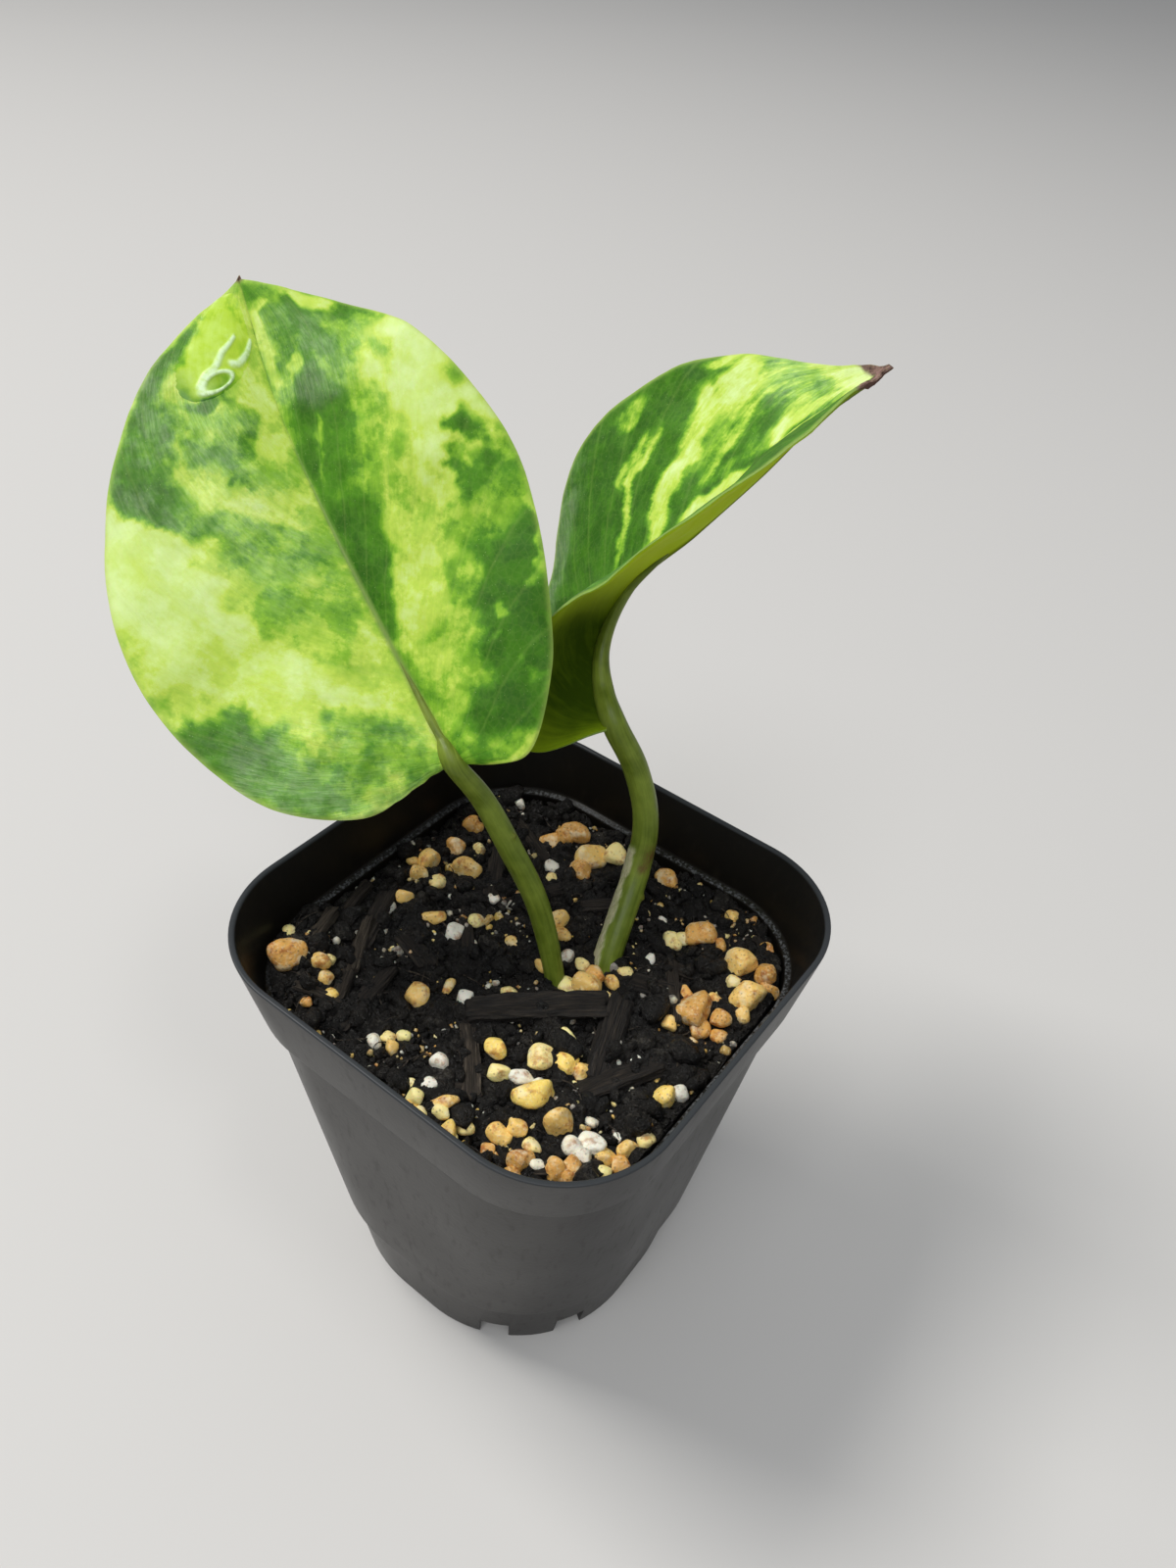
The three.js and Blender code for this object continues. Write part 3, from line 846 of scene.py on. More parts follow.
@dataclass
class Pot:
    """The thin moulded pot: foot, tapering body, a step out to the band, and the rim."""

    height: float = 65.5
    rim_side: float = 64
    rim_radius: float = 15.5
    band_bottom: float = 54.5
    band_bottom_side: float = 60.6
    band_bottom_radius: float = 16.5
    band_step: float = 1.2
    foot_height: float = 13
    body_bottom_side: float = 50.7
    body_bottom_radius: float = 20.5
    foot_step: float = 0.7
    base_side: float = 46.4
    base_radius: float = 20.3
    wall: float = 0.8
    floor: float = 1.4
    ledge_height: float = 56.3
    corner_steps: int = 22
    side_steps: int = 10
    notch_width: float = 4.3
    notch_height: float = 5
    notch_depth: float = 7
    notch_reach: float = 27
    notch_from_corner: float = 13
    step_rise: float = 0.3
    ledge_ease: float = 0.15
    edge_round: float = 0.38
    middle_ring: float = 0.6
    dust_reach: float = 0.35
    dust_strength: float = 0.95
    sharp_edge: float = 38

    @property
    def body_top_side(self) -> float:
        """Outer side of the body just under the band."""
        return self.band_bottom_side - 2 * self.band_step

    @property
    def body_top_radius(self) -> float:
        """Corner radius of the body just under the band."""
        return self.band_bottom_radius - self.band_step

    @property
    def foot_top_side(self) -> float:
        """Outer side of the foot just under the body."""
        return self.body_bottom_side - 2 * self.foot_step

    @property
    def foot_top_radius(self) -> float:
        """Corner radius of the foot just under the body."""
        return self.body_bottom_radius - self.foot_step

    def outside(self) -> list[Point]:
        """Corners of the outer profile from the base up.

        Returns:
            Half side, corner radius and height of each.
        """
        rows = [
            (self.base_side, self.base_radius, 0),
            (self.foot_top_side, self.foot_top_radius, self.foot_height - self.step_rise),
            (self.body_bottom_side, self.body_bottom_radius, self.foot_height),
            (self.body_top_side, self.body_top_radius, self.band_bottom - self.step_rise),
            (self.band_bottom_side, self.band_bottom_radius, self.band_bottom),
            (self.rim_side, self.rim_radius, self.height),
        ]
        return [(side / 2, radius, height) for side, radius, height in rows]

    def inside(self) -> list[Point]:
        """Corners of the inner profile from the rim down.

        Returns:
            Half side, corner radius and height of each.
        """
        wall = self.wall
        rows = [
            (self.rim_side, self.rim_radius, self.height),
            (self.band_bottom_side, self.band_bottom_radius, self.ledge_height + self.step_rise),
            (self.body_top_side + 2 * self.ledge_ease, self.body_top_radius, self.ledge_height),
            (self.body_top_side, self.body_top_radius, self.band_bottom - 1),
            (self.body_bottom_side, self.body_bottom_radius, self.foot_height + wall),
            (self.foot_top_side, self.foot_top_radius, self.foot_height - wall),
            (self.base_side, self.base_radius, self.floor),
        ]
        return [(side / 2 - wall, radius - wall, height) for side, radius, height in rows]

    def rings(self, profile: Array) -> Array:
        """Rounded squares, one for each row of a profile.

        A quarter of a ring is the corner's arc about its centre, then the straight side that slides on from
        the arc's end; the other quarters are that one turned by right angles.

        Args:
            profile: Half side, corner radius and height of each ring.

        Returns:
            Points as rings × points in a ring × 3, counter-clockwise from above.
        """
        half, radius, height = (profile[:, k, None] for k in range(3))
        arc = np.linspace(0, 1, self.corner_steps + 1)
        slide = np.linspace(0, 1, self.side_steps + 1)[1:-1]
        angle = np.concatenate([arc, np.ones(len(slide))]) * math.pi / 2
        slide = np.concatenate([np.zeros(len(arc)), slide])
        core = half - radius
        x = core + radius * np.cos(angle) - 2 * core * slide
        y = core + radius * np.sin(angle)
        ring_x = np.concatenate([x, -y, -x, y], axis=1)
        ring_y = np.concatenate([y, x, -y, -x], axis=1)
        return np.stack([ring_x, ring_y, np.broadcast_to(height, ring_x.shape)], axis=-1)

    @staticmethod
    def rounded(corners: list[Point], size: float, steps: int = 5) -> Array:
        """A profile with each inner corner rounded.

        A corner becomes the parabola that leaves its first side and joins its second side at a distance of
        size from it.

        Args:
            corners: The profile's corners.
            size: How far from each corner the rounding starts, at most a third of a side.
            steps: Parts of each parabola.

        Returns:
            The rounded profile's rows.
        """
        given = np.array(corners, float)
        corner = given[1:-1]
        ends = []
        for neighbour in (given[:-2], given[2:]):
            side = neighbour - corner
            ends.append(corner + unit(side) * np.minimum(size, np.linalg.norm(side, axis=1) / 3)[:, None])
        curves = parabola(ends[0], corner, ends[1], np.linspace(0, 1, steps + 1)[:, None, None])
        return np.vstack([given[:1], curves.transpose(1, 0, 2).reshape(-1, 3), given[-1:]])

    def profile(self) -> Array:
        """The closed profile, from the middle of the underside up, over the rim and down to the floor."""
        middle = (self.middle_ring * self.base_side / 2, self.middle_ring * self.base_radius)
        corners = [(*middle, 0), *self.outside(), *self.inside(), (*middle, self.floor)]
        return self.rounded(corners, self.edge_round)

    def notch_cutter(self) -> bpy.types.Object:
        """Eight boxes, two near each corner, that are cut out of the foot.

        Returns:
            One object with all the boxes.
        """
        square = ((-1, -1), (1, -1), (1, 1), (-1, 1))
        corners = np.array([(*side, z) for z in (-1, 1) for side in square], float)
        size = np.array([self.notch_depth / 2, self.notch_width / 2, self.notch_height])
        box = corners * size + (self.notch_reach - self.notch_depth / 2, 0, 0)
        sides = [[3, 2, 1, 0], [4, 5, 6, 7], [0, 1, 5, 4], [1, 2, 6, 5], [2, 3, 7, 6], [3, 0, 4, 7]]
        beside = self.notch_from_corner
        angle = np.radians([middle + side * beside for middle in (45, 135, 225, 315) for side in (-1, 1)])
        x, y = turned(box[:, 0], box[:, 1], angle[:, None])
        boxes = np.stack([x, y, np.broadcast_to(box[:, 2], x.shape)], axis=-1)
        points, faces = gathered([(placed, sides) for placed in boxes])
        mesh = bpy.data.meshes.new("notches")
        mesh.from_pydata((points * MM).tolist(), [], faces)
        return add_object("notches", mesh)

    def dust(self, points: Array) -> Array:
        """Where dust lies: nearly 1 on the inner ledge and 0 elsewhere.

        Args:
            points: Points of the pot.

        Returns:
            One strength for each point.
        """
        reach = np.maximum(np.abs(points[:, 0]), np.abs(points[:, 1]))
        bevel = np.hypot(points[:, 0], points[:, 1])
        inner = (reach < self.body_top_side / 2 + 0.3) & (bevel < self.body_top_side * 0.63)
        return self.dust_strength * fade(points[:, 2] - self.ledge_height - 0.1, self.dust_reach) * inner

    def build(self, finish: Material) -> None:
        """Makes the pot: the profile's rings joined and closed, with the notches cut out.

        Args:
            finish: The plastic.
        """
        points, faces = loft(self.rings(self.profile()))
        pot = place_piece("nursery_pot", points, faces, finish, replaces="pot")
        cutter = self.notch_cutter()
        cut = pot.modifiers.new("notches", "BOOLEAN")
        cut.operation = "DIFFERENCE"
        cut.solver = "EXACT"
        cut.object = cutter
        mesh = bpy.data.meshes.new_from_object(pot.evaluated_get(bpy.context.evaluated_depsgraph_get()))
        pot.modifiers.clear()
        pot.data = mesh
        bpy.data.objects.remove(cutter)
        place = np.zeros(len(mesh.vertices) * 3)
        mesh.vertices.foreach_get("co", place)
        points = place.reshape(-1, 3) / MM
        add_attribute(mesh, "dust", self.dust(points))
        add_attribute(mesh, "rim", smooth_step(points[:, 2], self.height - 0.45, self.height - 0.1))
        mesh.shade_smooth()
        mesh.set_sharp_from_angle(angle=math.radians(self.sharp_edge))


# Soil

class Tone(Enum):
    """Colours of the stones and grains."""

    ORANGE = (0.62, 0.33, 0.075)
    TAN = (0.76, 0.5, 0.14)
    CREAM = (0.83, 0.68, 0.27)
    YELLOW = (0.86, 0.6, 0.14)
    WHITE = (0.74, 0.72, 0.62)
    GREY = (0.3, 0.28, 0.25)


@dataclass(frozen=True)
class Stone:
    """A stone on the soil; long is its length for its width, turn the way that it lies, in degrees."""

    x: float
    y: float
    width: float
    tone: Tone
    long: float = 1.15
    turn: float = 0.0
    lift: float = 0.0


ORANGE, TAN, CREAM, YELLOW, WHITE, GREY = Tone

STONES = [Stone(*row) for row in (
    (-25.2, -23.4, 4.2, ORANGE, 1.3, 40), (-27.3, -18.6, 2.0, CREAM), (-24, 5, 3.6, TAN, 1.35, 70),
    (-23, 1.5, 2.6, TAN), (-21.5, -2.5, 2.2, TAN), (-19, 7.5, 3.8, TAN, 1.25, 20), (-20, 2.5, 2.4, CREAM),
    (-26.5, 24, 2.2, TAN), (-24.5, 15.5, 2.8, ORANGE), (-23, 10, 2.8, ORANGE),
    (-15.5, -3, 2.6, TAN, 1.3, 30), (-12, -3, 3.0, WHITE, 1.2, 80), (-11, 0.5, 2.2, CREAM),
    (-15, -9, 1.6, WHITE), (-8, -14.5, 3.3, TAN), (-3.5, -10, 2.5, WHITE), (-6.5, -10, 1.8, TAN, 1.6, 100),
    (0.5, -5.5, 2.2, CREAM, 1.6, 15), (-5, 1.5, 2.0, TAN), (-3, 8.5, 3.2, TAN, 1.6, 80),
    (2, 4.3, 2.3, WHITE, 1.5, 80), (7.8, 1.8, 3.6, TAN, 1.25, 20, 0.8),
    (5.5, 0.3, 2.5, CREAM, 1.1, 0, 0.5), (8.4, -0.9, 2.7, YELLOW, 1.3, 70, 0.6),
    (11.4, 1.1, 2.4, CREAM, 1.4, 60), (-7, 21, 4.6, TAN, 1.3, 60), (-4, 24, 3.4, CREAM, 1.2, 20),
    (-11.5, 24, 3.6, ORANGE, 1.5, 10), (-13.5, 20.5, 3, ORANGE), (4.5, 25.5, 3.2, ORANGE, 1.4, 0),
    (13.6, 19.4, 4.1, ORANGE, 1.2, 30), (11.4, 16.6, 3, CREAM, 1.3, 0), (21.3, 18.2, 3.9, TAN, 1.15, 50),
    (24.8, 18.8, 3.4, ORANGE, 1.3, 120), (23.5, 24.5, 2.5, ORANGE), (25, 13.5, 4.0, TAN, 1.4, 45),
    (20.5, 7.8, 4.9, ORANGE, 1.35, 100), (24, 8.6, 2.6, ORANGE), (26, 11, 2.2, TAN), (5, -14, 2.9, YELLOW),
    (10.5, -6.5, 2.4, CREAM), (10, -11.5, 3.3, CREAM, 1.15, 40), (13, -10, 3, YELLOW, 1.1, 20),
    (15.3, -9.3, 2.7, TAN, 1.2, 60), (10, -15, 2.9, WHITE, 1.3, 10), (13, -16.5, 4.2, YELLOW, 1.25, 60),
    (17.6, -17.6, 3.4, TAN, 1.6, 40), (-7.6, -22.6, 2.2, WHITE), (-6.5, -21, 2, CREAM),
    (-5.5, -19.7, 1.9, CREAM), (1.2, -20.5, 2.2, WHITE), (2.5, -23, 2.1, WHITE), (0.5, -24.4, 1.8, CREAM),
    (5.8, -24.2, 2.6, TAN, 1.5, 60), (8.4, -26.6, 2.3, YELLOW, 1.5, 140), (9.6, -24.8, 2, CREAM),
    (13, -22.7, 2.7, TAN, 1.1, 0), (14.4, -21, 2.5, TAN), (17, -21.8, 2.4, CREAM),
    (17.4, -24.4, 3, ORANGE, 1.2, 60), (21.3, -22.6, 3, ORANGE, 1.1, 0),
    (22.6, -20.9, 2.6, ORANGE, 1.2, 30), (22.2, -17.3, 3.3, WHITE, 1.25, 20), (24.2, -17, 2.6, TAN),
    (26, -14.8, 2.6, TAN, 1.3, 60), (25.3, -6.2, 2.9, YELLOW, 1.3, 30), (26.6, -4.4, 2.2, WHITE),
    (-18.5, -20.5, 2.2, TAN), (-20, -18, 1.7, CREAM), (-17, -25, 1.6, ORANGE), (-9, 15, 2.1, CREAM),
    (-15.5, 13, 2.3, WHITE, 1.3, 50), (-25.3, 3.2, 2.0, TAN), (-22.5, -5, 2.2, WHITE),
    (-12.5, 6, 1.8, WHITE), (-20.5, 12, 2.0, CREAM), (-22, 23.2, 2.0, WHITE), (-10.8, 17, 2.2, WHITE),
    (-12.3, 22.4, 2.8, ORANGE), (-6.3, 18.8, 3.2, ORANGE), (-1, 7, 2.4, TAN), (4.8, 4.2, 2.0, CREAM),
    (1.2, 0, 1.9, TAN), (10, 6.8, 2.2, CREAM), (9.6, 4.6, 2.0, TAN), (11.5, 10.5, 1.8, WHITE),
    (7.2, 3.6, 2.6, ORANGE, 1.1, 0, 0.6), (12.4, 17.8, 2.2, CREAM), (8.3, 18.5, 1.6, WHITE),
    (17.2, 20, 1.9, ORANGE), (15.8, 25.2, 2.1, TAN), (21.8, 15.6, 2.4, CREAM), (26.3, 17.2, 2.6, ORANGE),
    (18.2, 9.4, 2.8, ORANGE), (21.8, 11, 2.0, TAN), (22.3, 6.3, 2.8, ORANGE), (25.1, 6.9, 2.2, ORANGE),
    (19.4, 3.6, 2.0, TAN), (19.4, -4, 1.5, WHITE), (7.3, -16.2, 2.6, CREAM, 1.2, 30),
    (12.2, -14.2, 1.8, WHITE), (-5, -22.1, 1.8, TAN), (-20, -19.5, 2.4, TAN), (-16.2, -21.6, 2.0, YELLOW),
    (-13, -27, 1.5, TAN), (2.4, -25.8, 2.2, CREAM), (2.6, -27.3, 2.0, TAN), (4.3, -26.8, 1.6, CREAM),
    (6.5, -25.6, 2.0, CREAM), (9.6, -27.2, 1.8, CREAM), (13, -24.8, 2.0, ORANGE),
    (19.4, -23.4, 1.9, WHITE), (17.8, -26.2, 2.0, ORANGE), (21, -18.8, 2.4, WHITE),
    (22.8, -19.2, 2.0, WHITE), (25.6, -18.6, 1.9, CREAM), (26.4, -16.6, 2.4, ORANGE),
    (27.6, -12.6, 2.2, CREAM), (23.2, -22.4, 2.4, ORANGE), (20.4, -14.3, 1.6, WHITE),
    (23.8, -13.6, 1.3, WHITE),
)]


@dataclass(frozen=True)
class Chip:
    """A bark chip: its two ends, width, thickness and how brown it is."""

    start: tuple[float, float]
    end: tuple[float, float]
    width: float
    thick: float
    warm: float = 0.2
    lift: float = 0.0
    roll: float = 0.0


CHIPS = [Chip(*row) for row in (
    ((-1.5, -12.2), (11.8, 0.2), 3.4, 1.5, 0.1, 1.0, 12),
    ((-0.6, -12.6), (7.2, -20.8), 2.2, 1.2, 0.7, 0.2),
    ((12.5, 2.5), (17.5, -9.5), 3.4, 1.3, 0.1, 0.7, -14),
    ((11.5, 6), (18.4, 9.4), 2.8, 1.4, 0.15, 0.5, 10),
    ((-26.3, -11.5), (-22.4, -21.8), 1.9, 1.3, 1.0, 0.5, 20), ((-18, 14), (-13, 6), 2.2, 1.2, 0.4),
    ((-19.5, -13), (-15.5, -21), 1.8, 1.1, 0.6, 0.2), ((-24, -3), (-19, -14), 2.6, 1.2, 0.3, 0.1, 15),
    ((13.6, 12.6), (20, 4.2), 1.7, 1.2, 0.65, 0.1), ((1, -25.5), (7, -19), 2.0, 1.0, 0.35),
    ((17, -12), (22, -2), 3.2, 1.0, 0.2, 0, -10), ((-2, 13), (4, 18), 2.4, 1.1, 0.45),
    ((-20, 20), (-12, 17), 2.0, 1.1, 0.5), ((19, -24.5), (25, -19), 1.8, 1.0, 0.5),
    ((-14, -13), (-12, -24), 2.4, 1.1, 0.25, 0, 12), ((8, 10), (17, 13), 1.8, 1.0, 0.6, 0.1),
    ((20, 24), (26, 20.5), 2.0, 1.1, 0.4), ((-11, 6), (-6, 14), 1.9, 1.0, 0.3),
    ((22, 2.5), (26, -4.5), 0.6, 0.5, 1.0, 0.4), ((-22, -9), (-17, -17), 1.6, 1.0, 0.9, 0.5, 25),
    ((-27, -4), (-25.5, -10), 1.5, 1.0, 0.55, 0.3), ((-14, 2), (-9, -3.5), 1.8, 1.1, 0.3, 0.1),
    ((-17, -8), (-10, -10), 2.6, 1.2, 0.15, 0.1), ((-20, -24), (-14.5, -21.5), 1.4, 0.9, 0.7, 0.1),
)]


@dataclass
class Soil:
    """Potting soil with crumbs, stones, grains, bark chips and fibres."""

    pot: Pot
    moist: Material
    pebble: Material
    bark: Material
    top: float = 55
    gap: float = 0.3
    relief: float = 0.7
    grid: int = 290
    crumb_sizes: tuple[float, ...] = (2.9, 1.5, 0.8)
    bank_middle: tuple[float, float] = (-26, -21)
    bank_height: float = 2.6
    bank_reach: float = 8.5
    bank_out: float = 1.1
    bank_turn: float = 0.26
    stone_sink: float = 0.2
    facet_offsets: tuple[float, float] = (0.78, 1.0)
    facet_power: int = 6
    facet_limit: float = 0.84
    grain_count: int = 1300
    grain_sizes: tuple[float, float] = (0.3, 1.5)
    grain_tones: tuple[float, ...] = (0.09, 0.2, 0.17, 0.06, 0.16, 0.32)
    fibre_count: int = 150
    fibre_steps: int = 9
    fibre_sides: int = 5
    seed: int = 41

    def height(self, place: Array) -> Array:
        """Height of the soil's broad lumps, by the same sines as the solid.

        In the left corner a bank, height·exp(−d²) of the distance d in reaches, rises over the pot's ledge.

        Args:
            place: Places in the plane.

        Returns:
            One height for each place.
        """
        x, y = place[..., 0], place[..., 1]
        lumps = np.sin(0.55 * x + 1.3) * np.cos(0.62 * y - 0.4) + 0.6 * np.sin(0.31 * (x + y) + 2)
        away = np.hypot(x - self.bank_middle[0], y - self.bank_middle[1])
        return self.top + self.relief * lumps + self.bank_height * fade(away, self.bank_reach)

    def surface_height(self, place: Array) -> Array:
        """Height of the crumbly surface: the lumps, smooth noise, and a round crumb in each random cell.

        A crumb is √(1 − d²/0.45) of the distance d from its cell's point, as high as smooth noise says.

        Args:
            place: Places in the plane.

        Returns:
            One height for each place.
        """
        uneven = 0.2 * WaveNoise(5, 4).at(place, 1.1) + 0.08 * WaveNoise(6, 2).at(place, 7)
        height = self.height(place) + uneven
        bent = place + 0.35 * np.stack([WaveNoise(seed, 3).at(place, 1.7) for seed in (7, 8)], axis=-1)
        for k, size in enumerate(self.crumb_sizes):
            crumb = np.maximum(0, 1 - cell_distance(bent + 0.3 * k, size, 3.7 * k) ** 2 / 0.45)
            strength = 0.5 + 0.45 * WaveNoise(20 + k, 2).at(place, 0.5)
            height = height + 0.24 * size * np.sqrt(crumb) * np.clip(strength, 0, 1.3)
        return height

    @property
    def inset(self) -> float:
        """How far inside the pot's outer wall the soil ends."""
        return self.pot.wall + self.gap

    @staticmethod
    def outline(angle: Array, half: float, radius: float) -> Array:
        """Distance from the middle of a rounded square to its outline in each direction.

        On a straight side it is half the side over the larger of |cos| and |sin|; at a corner it is where
        the ray leaves the corner's circle.

        Args:
            angle: Directions in the plane.
            half: Half the square's side.
            radius: The corners' radius.

        Returns:
            Distances in millimetres.
        """
        core = half - radius
        cosine, sine = np.abs(np.cos(angle)), np.abs(np.sin(angle))
        straight = half / np.maximum(cosine, sine)
        along = core * (cosine + sine)
        corner = along + np.sqrt(np.maximum(radius**2 - 2 * core**2 + along**2, 0))
        return np.where(np.minimum(cosine, sine) * straight <= core, straight, corner)

    def reach(self, angle: Array) -> Array:
        """Distance from the middle to the edge of the soil's top, a little more at the bank.

        Args:
            angle: Directions in the plane.

        Returns:
            One distance for each direction.
        """
        pot = self.pot
        edge = self.outline(angle, pot.body_top_side / 2 - self.inset, pot.body_top_radius - self.inset)
        away = np.angle(np.exp(1j * (angle - math.atan2(self.bank_middle[1], self.bank_middle[0]))))
        return edge + self.bank_out * fade(away, self.bank_turn)

    def inside(self, place: Array, clear: Array | float) -> Array:
        """Places moved straight towards the middle where they would come too near the wall.

        Args:
            place: Places in the plane.
            clear: How far they have to stay from the wall.

        Returns:
            The places, moved where they have to be.
        """
        limit = self.reach(np.arctan2(place[..., 1], place[..., 0])) - clear
        distance = np.maximum(np.hypot(place[..., 0], place[..., 1]), 1e-6)
        return place * np.minimum(1, limit / distance)[..., None]

    def scatter(self, rng: np.random.Generator, count: int, clear: float = 0.5, off_stones: float = -9,
                clumps: float = -9) -> Array:
        """Random places on the soil.

        Args:
            rng: The random numbers' source.
            count: How many places.
            clear: How far they stay from the wall.
            off_stones: How far they stay from the edge of each stone.
            clumps: Places are kept where smooth noise is above this.

        Returns:
            Places in the plane.
        """
        half = self.pot.body_top_side / 2
        tried = self.inside(rng.uniform(-half, half, (2 * count, 2)), clear)
        middles = np.array([[stone.x, stone.y] for stone in STONES])
        reach = np.array([0.5 * stone.width * math.sqrt(stone.long) for stone in STONES])
        away = np.linalg.norm(tried[:, None] - middles, axis=-1) - reach
        free = tried[(away.min(axis=1) > off_stones) & (WaveNoise(31, 2).at(tried, 0.4) > clumps)]
        return free[:count]

    def build(self) -> None:
        """Makes every piece of the soil."""
        self.build_ground()
        self.build_stones()
        self.build_grains()
        self.build_crumbs()
        self.build_bark()
        self.build_fibres()

    def build_ground(self) -> None:
        """Makes the soil's body.

        A square grid is drawn in to the pot's rounded outline, the more the nearer it is to the border, and
        lifted to the crumbly height. Its border runs down the pot's wall in rings, to a fan on the floor.
        """
        pot = self.pot
        line = np.linspace(-1, 1, self.grid)
        v, u = np.meshgrid(line, line, indexing="ij")
        angle = np.arctan2(v, u)
        square = 1 / np.maximum(np.maximum(np.abs(np.cos(angle)), np.abs(np.sin(angle))), 1e-9)
        share = np.maximum(np.abs(u), np.abs(v))
        half = pot.body_top_side / 2 - self.inset
        pull = 1 + (self.reach(angle) / (square * half) - 1) * share**2
        place = np.stack([u, v], axis=-1) * half * pull[..., None]
        top = raised(place, self.surface_height(place)).reshape(-1, 3)
        border = grid_border(self.grid, self.grid)
        turn, edge = angle.ravel()[border], top[border]
        low = edge.copy()
        low[:, 2] = np.minimum(edge[:, 2] - 0.1, pot.ledge_height + 0.75)
        rings = [low]
        levels = [(pot.ledge_height + 0.35, pot.body_top_side, pot.body_top_radius),
                  (pot.band_bottom - 1, pot.body_top_side, pot.body_top_radius),
                  (pot.foot_height + 1.2, pot.body_bottom_side, pot.body_bottom_radius),
                  (pot.foot_height - 1.2, pot.foot_top_side, pot.foot_top_radius),
                  (pot.floor + self.gap, pot.base_side, pot.base_radius)]
        for level, side, radius in levels:
            out = self.outline(turn, side / 2 - self.inset, radius - self.inset)
            rings.append(raised(out[:, None] * circle(turn), np.minimum(level, edge[:, 2] - 0.2)))
        points = np.vstack([top, *rings, [[0, 0, pot.floor + self.gap]]])
        count = len(border)
        starts = [border] + [self.grid**2 + k * count + np.arange(count) for k in range(len(rings))]
        faces = grid_faces(self.grid, self.grid).tolist()
        for upper, lower in zip(starts, starts[1:]):
            faces += np.stack([lower, np.roll(lower, -1), np.roll(upper, -1), upper], axis=-1).tolist()
        faces += fan_faces(starts[-1][::-1], len(points) - 1).tolist()
        place_piece("potting_soil_ground", points, faces, self.moist, replaces="soil")

    def lumps(self, name: str, place: Array, size: Array, shape: Array, turns: Array, depth: Array,
              tone: Array | None, fineness: int, facets: int, rough: float) -> None:
        """Makes many small lumps in one piece.

        In direction d a lump reaches 1 / (Σ max(d·n/o, 0)^p)^(1/p), n being its random facets' normals and o
        their distances: a block with rounded edges. Noise roughens it, and it is stretched and turned.

        Args:
            name: The piece's name.
            place: The lumps' places in the plane.
            size: Their widths.
            shape: Their length, width and height as shares of the width.
            turns: Their turning matrices.
            depth: Height of each middle above the soil, in widths.
            tone: Their colours as stones, or None for crumbs of soil.
            fineness: Subdivisions of each lump.
            facets: How many facets cut each lump.
            rough: Share of the width that noise moves the surface by.
        """
        rng = np.random.default_rng(self.seed + len(name))
        directions, triangles = ball(fineness)
        count = len(place)
        normals = unit(rng.normal(size=(count, facets, 3)))
        offsets = rng.uniform(*self.facet_offsets, (count, 1, facets))
        facing = np.maximum(np.einsum("vk,nfk->nvf", directions, normals), 0) / offsets
        total = (facing**self.facet_power).sum(axis=-1) ** (1 / self.facet_power)
        reach = 1 / np.maximum(total, self.facet_limit)
        drift = rng.uniform(-40, 40, (count, 1, 3))
        reach = reach * (1 + rough * WaveNoise(self.seed, 3).at(directions + drift, 2.6))
        local = directions * reach[..., None] * 0.5 * size[:, None, None]
        local = np.einsum("nvk,njk->nvj", local, turns) * shape[:, None, :]
        middle = raised(place, self.height(place) + depth * size)
        points = (local + middle[:, None]).reshape(-1, 3)
        faces = (triangles[None] + np.arange(count)[:, None, None] * len(directions)).reshape(-1, 3)
        attributes, finish = {}, self.moist
        if tone is not None:
            attributes["tone"] = np.repeat(np.column_stack([tone, np.ones(count)]), len(directions), axis=0)
            finish = self.pebble
        place_piece(name, points, faces.tolist(), finish, attributes)

    def build_stones(self) -> None:
        """Makes the larger stones, each stretched along the way that it lies.

        The stretch is the matrix with length·narrow along the stone's direction and narrow = 1/√length
        across it.
        """
        rng = np.random.default_rng(self.seed)
        for name, least, most, fineness in (("soil_stones", 2.5, 9, 4), ("soil_small_stones", 0, 2.5, 3)):
            chosen = [stone for stone in STONES if least <= stone.width < most]
            count = len(chosen)
            values = np.array([(s.x, s.y, s.width, s.long, math.radians(s.turn), s.lift) for s in chosen])
            x, y, size, long, turn, lift = values.T
            height = rng.uniform(0.75, 1.0, count)
            brighter = rng.uniform(1.0, 1.25, (count, 1))
            tone = np.minimum(np.array([s.tone.value for s in chosen]) * brighter, 0.95)
            cosine, sine = np.cos(turn), np.sin(turn)
            narrow = 1 / np.sqrt(long)
            wide = long * narrow
            flat = np.zeros((count, 3, 3))
            flat[:, 0, 0] = cosine**2 * wide + sine**2 * narrow
            flat[:, 1, 1] = sine**2 * wide + cosine**2 * narrow
            flat[:, 0, 1] = flat[:, 1, 0] = cosine * sine * (wide - narrow)
            flat[:, 2, 2] = height
            place = self.inside(np.stack([x, y], axis=-1), 0.5 * size)
            depth = height / 2 - self.stone_sink + lift / size
            self.lumps(name, place, size, np.ones((count, 3)), flat, depth, tone, fineness, 11, 0.035)

    def build_grains(self) -> None:
        """Makes the small grains: pale and grey bits, more of them small than large."""
        rng = np.random.default_rng(self.seed + 1)
        place = self.scatter(rng, self.grain_count, 0.6, 0.1, -0.3)
        count = len(place)
        least, most = self.grain_sizes
        size = np.clip(least + 0.2 * rng.exponential(1, count), least, most)
        choice = rng.choice(len(Tone), count, p=self.grain_tones)
        tone = np.array([t.value for t in Tone])[choice] * rng.uniform(0.45, 1.05, (count, 1))
        shape = rng.uniform(0.75, 1.25, (count, 3))
        depth = rng.uniform(0.15, 0.55, count) + 0.18 / size
        self.lumps("soil_grains", place, size, shape, random_turns(rng, count), depth, tone, 2, 8, 0.1)

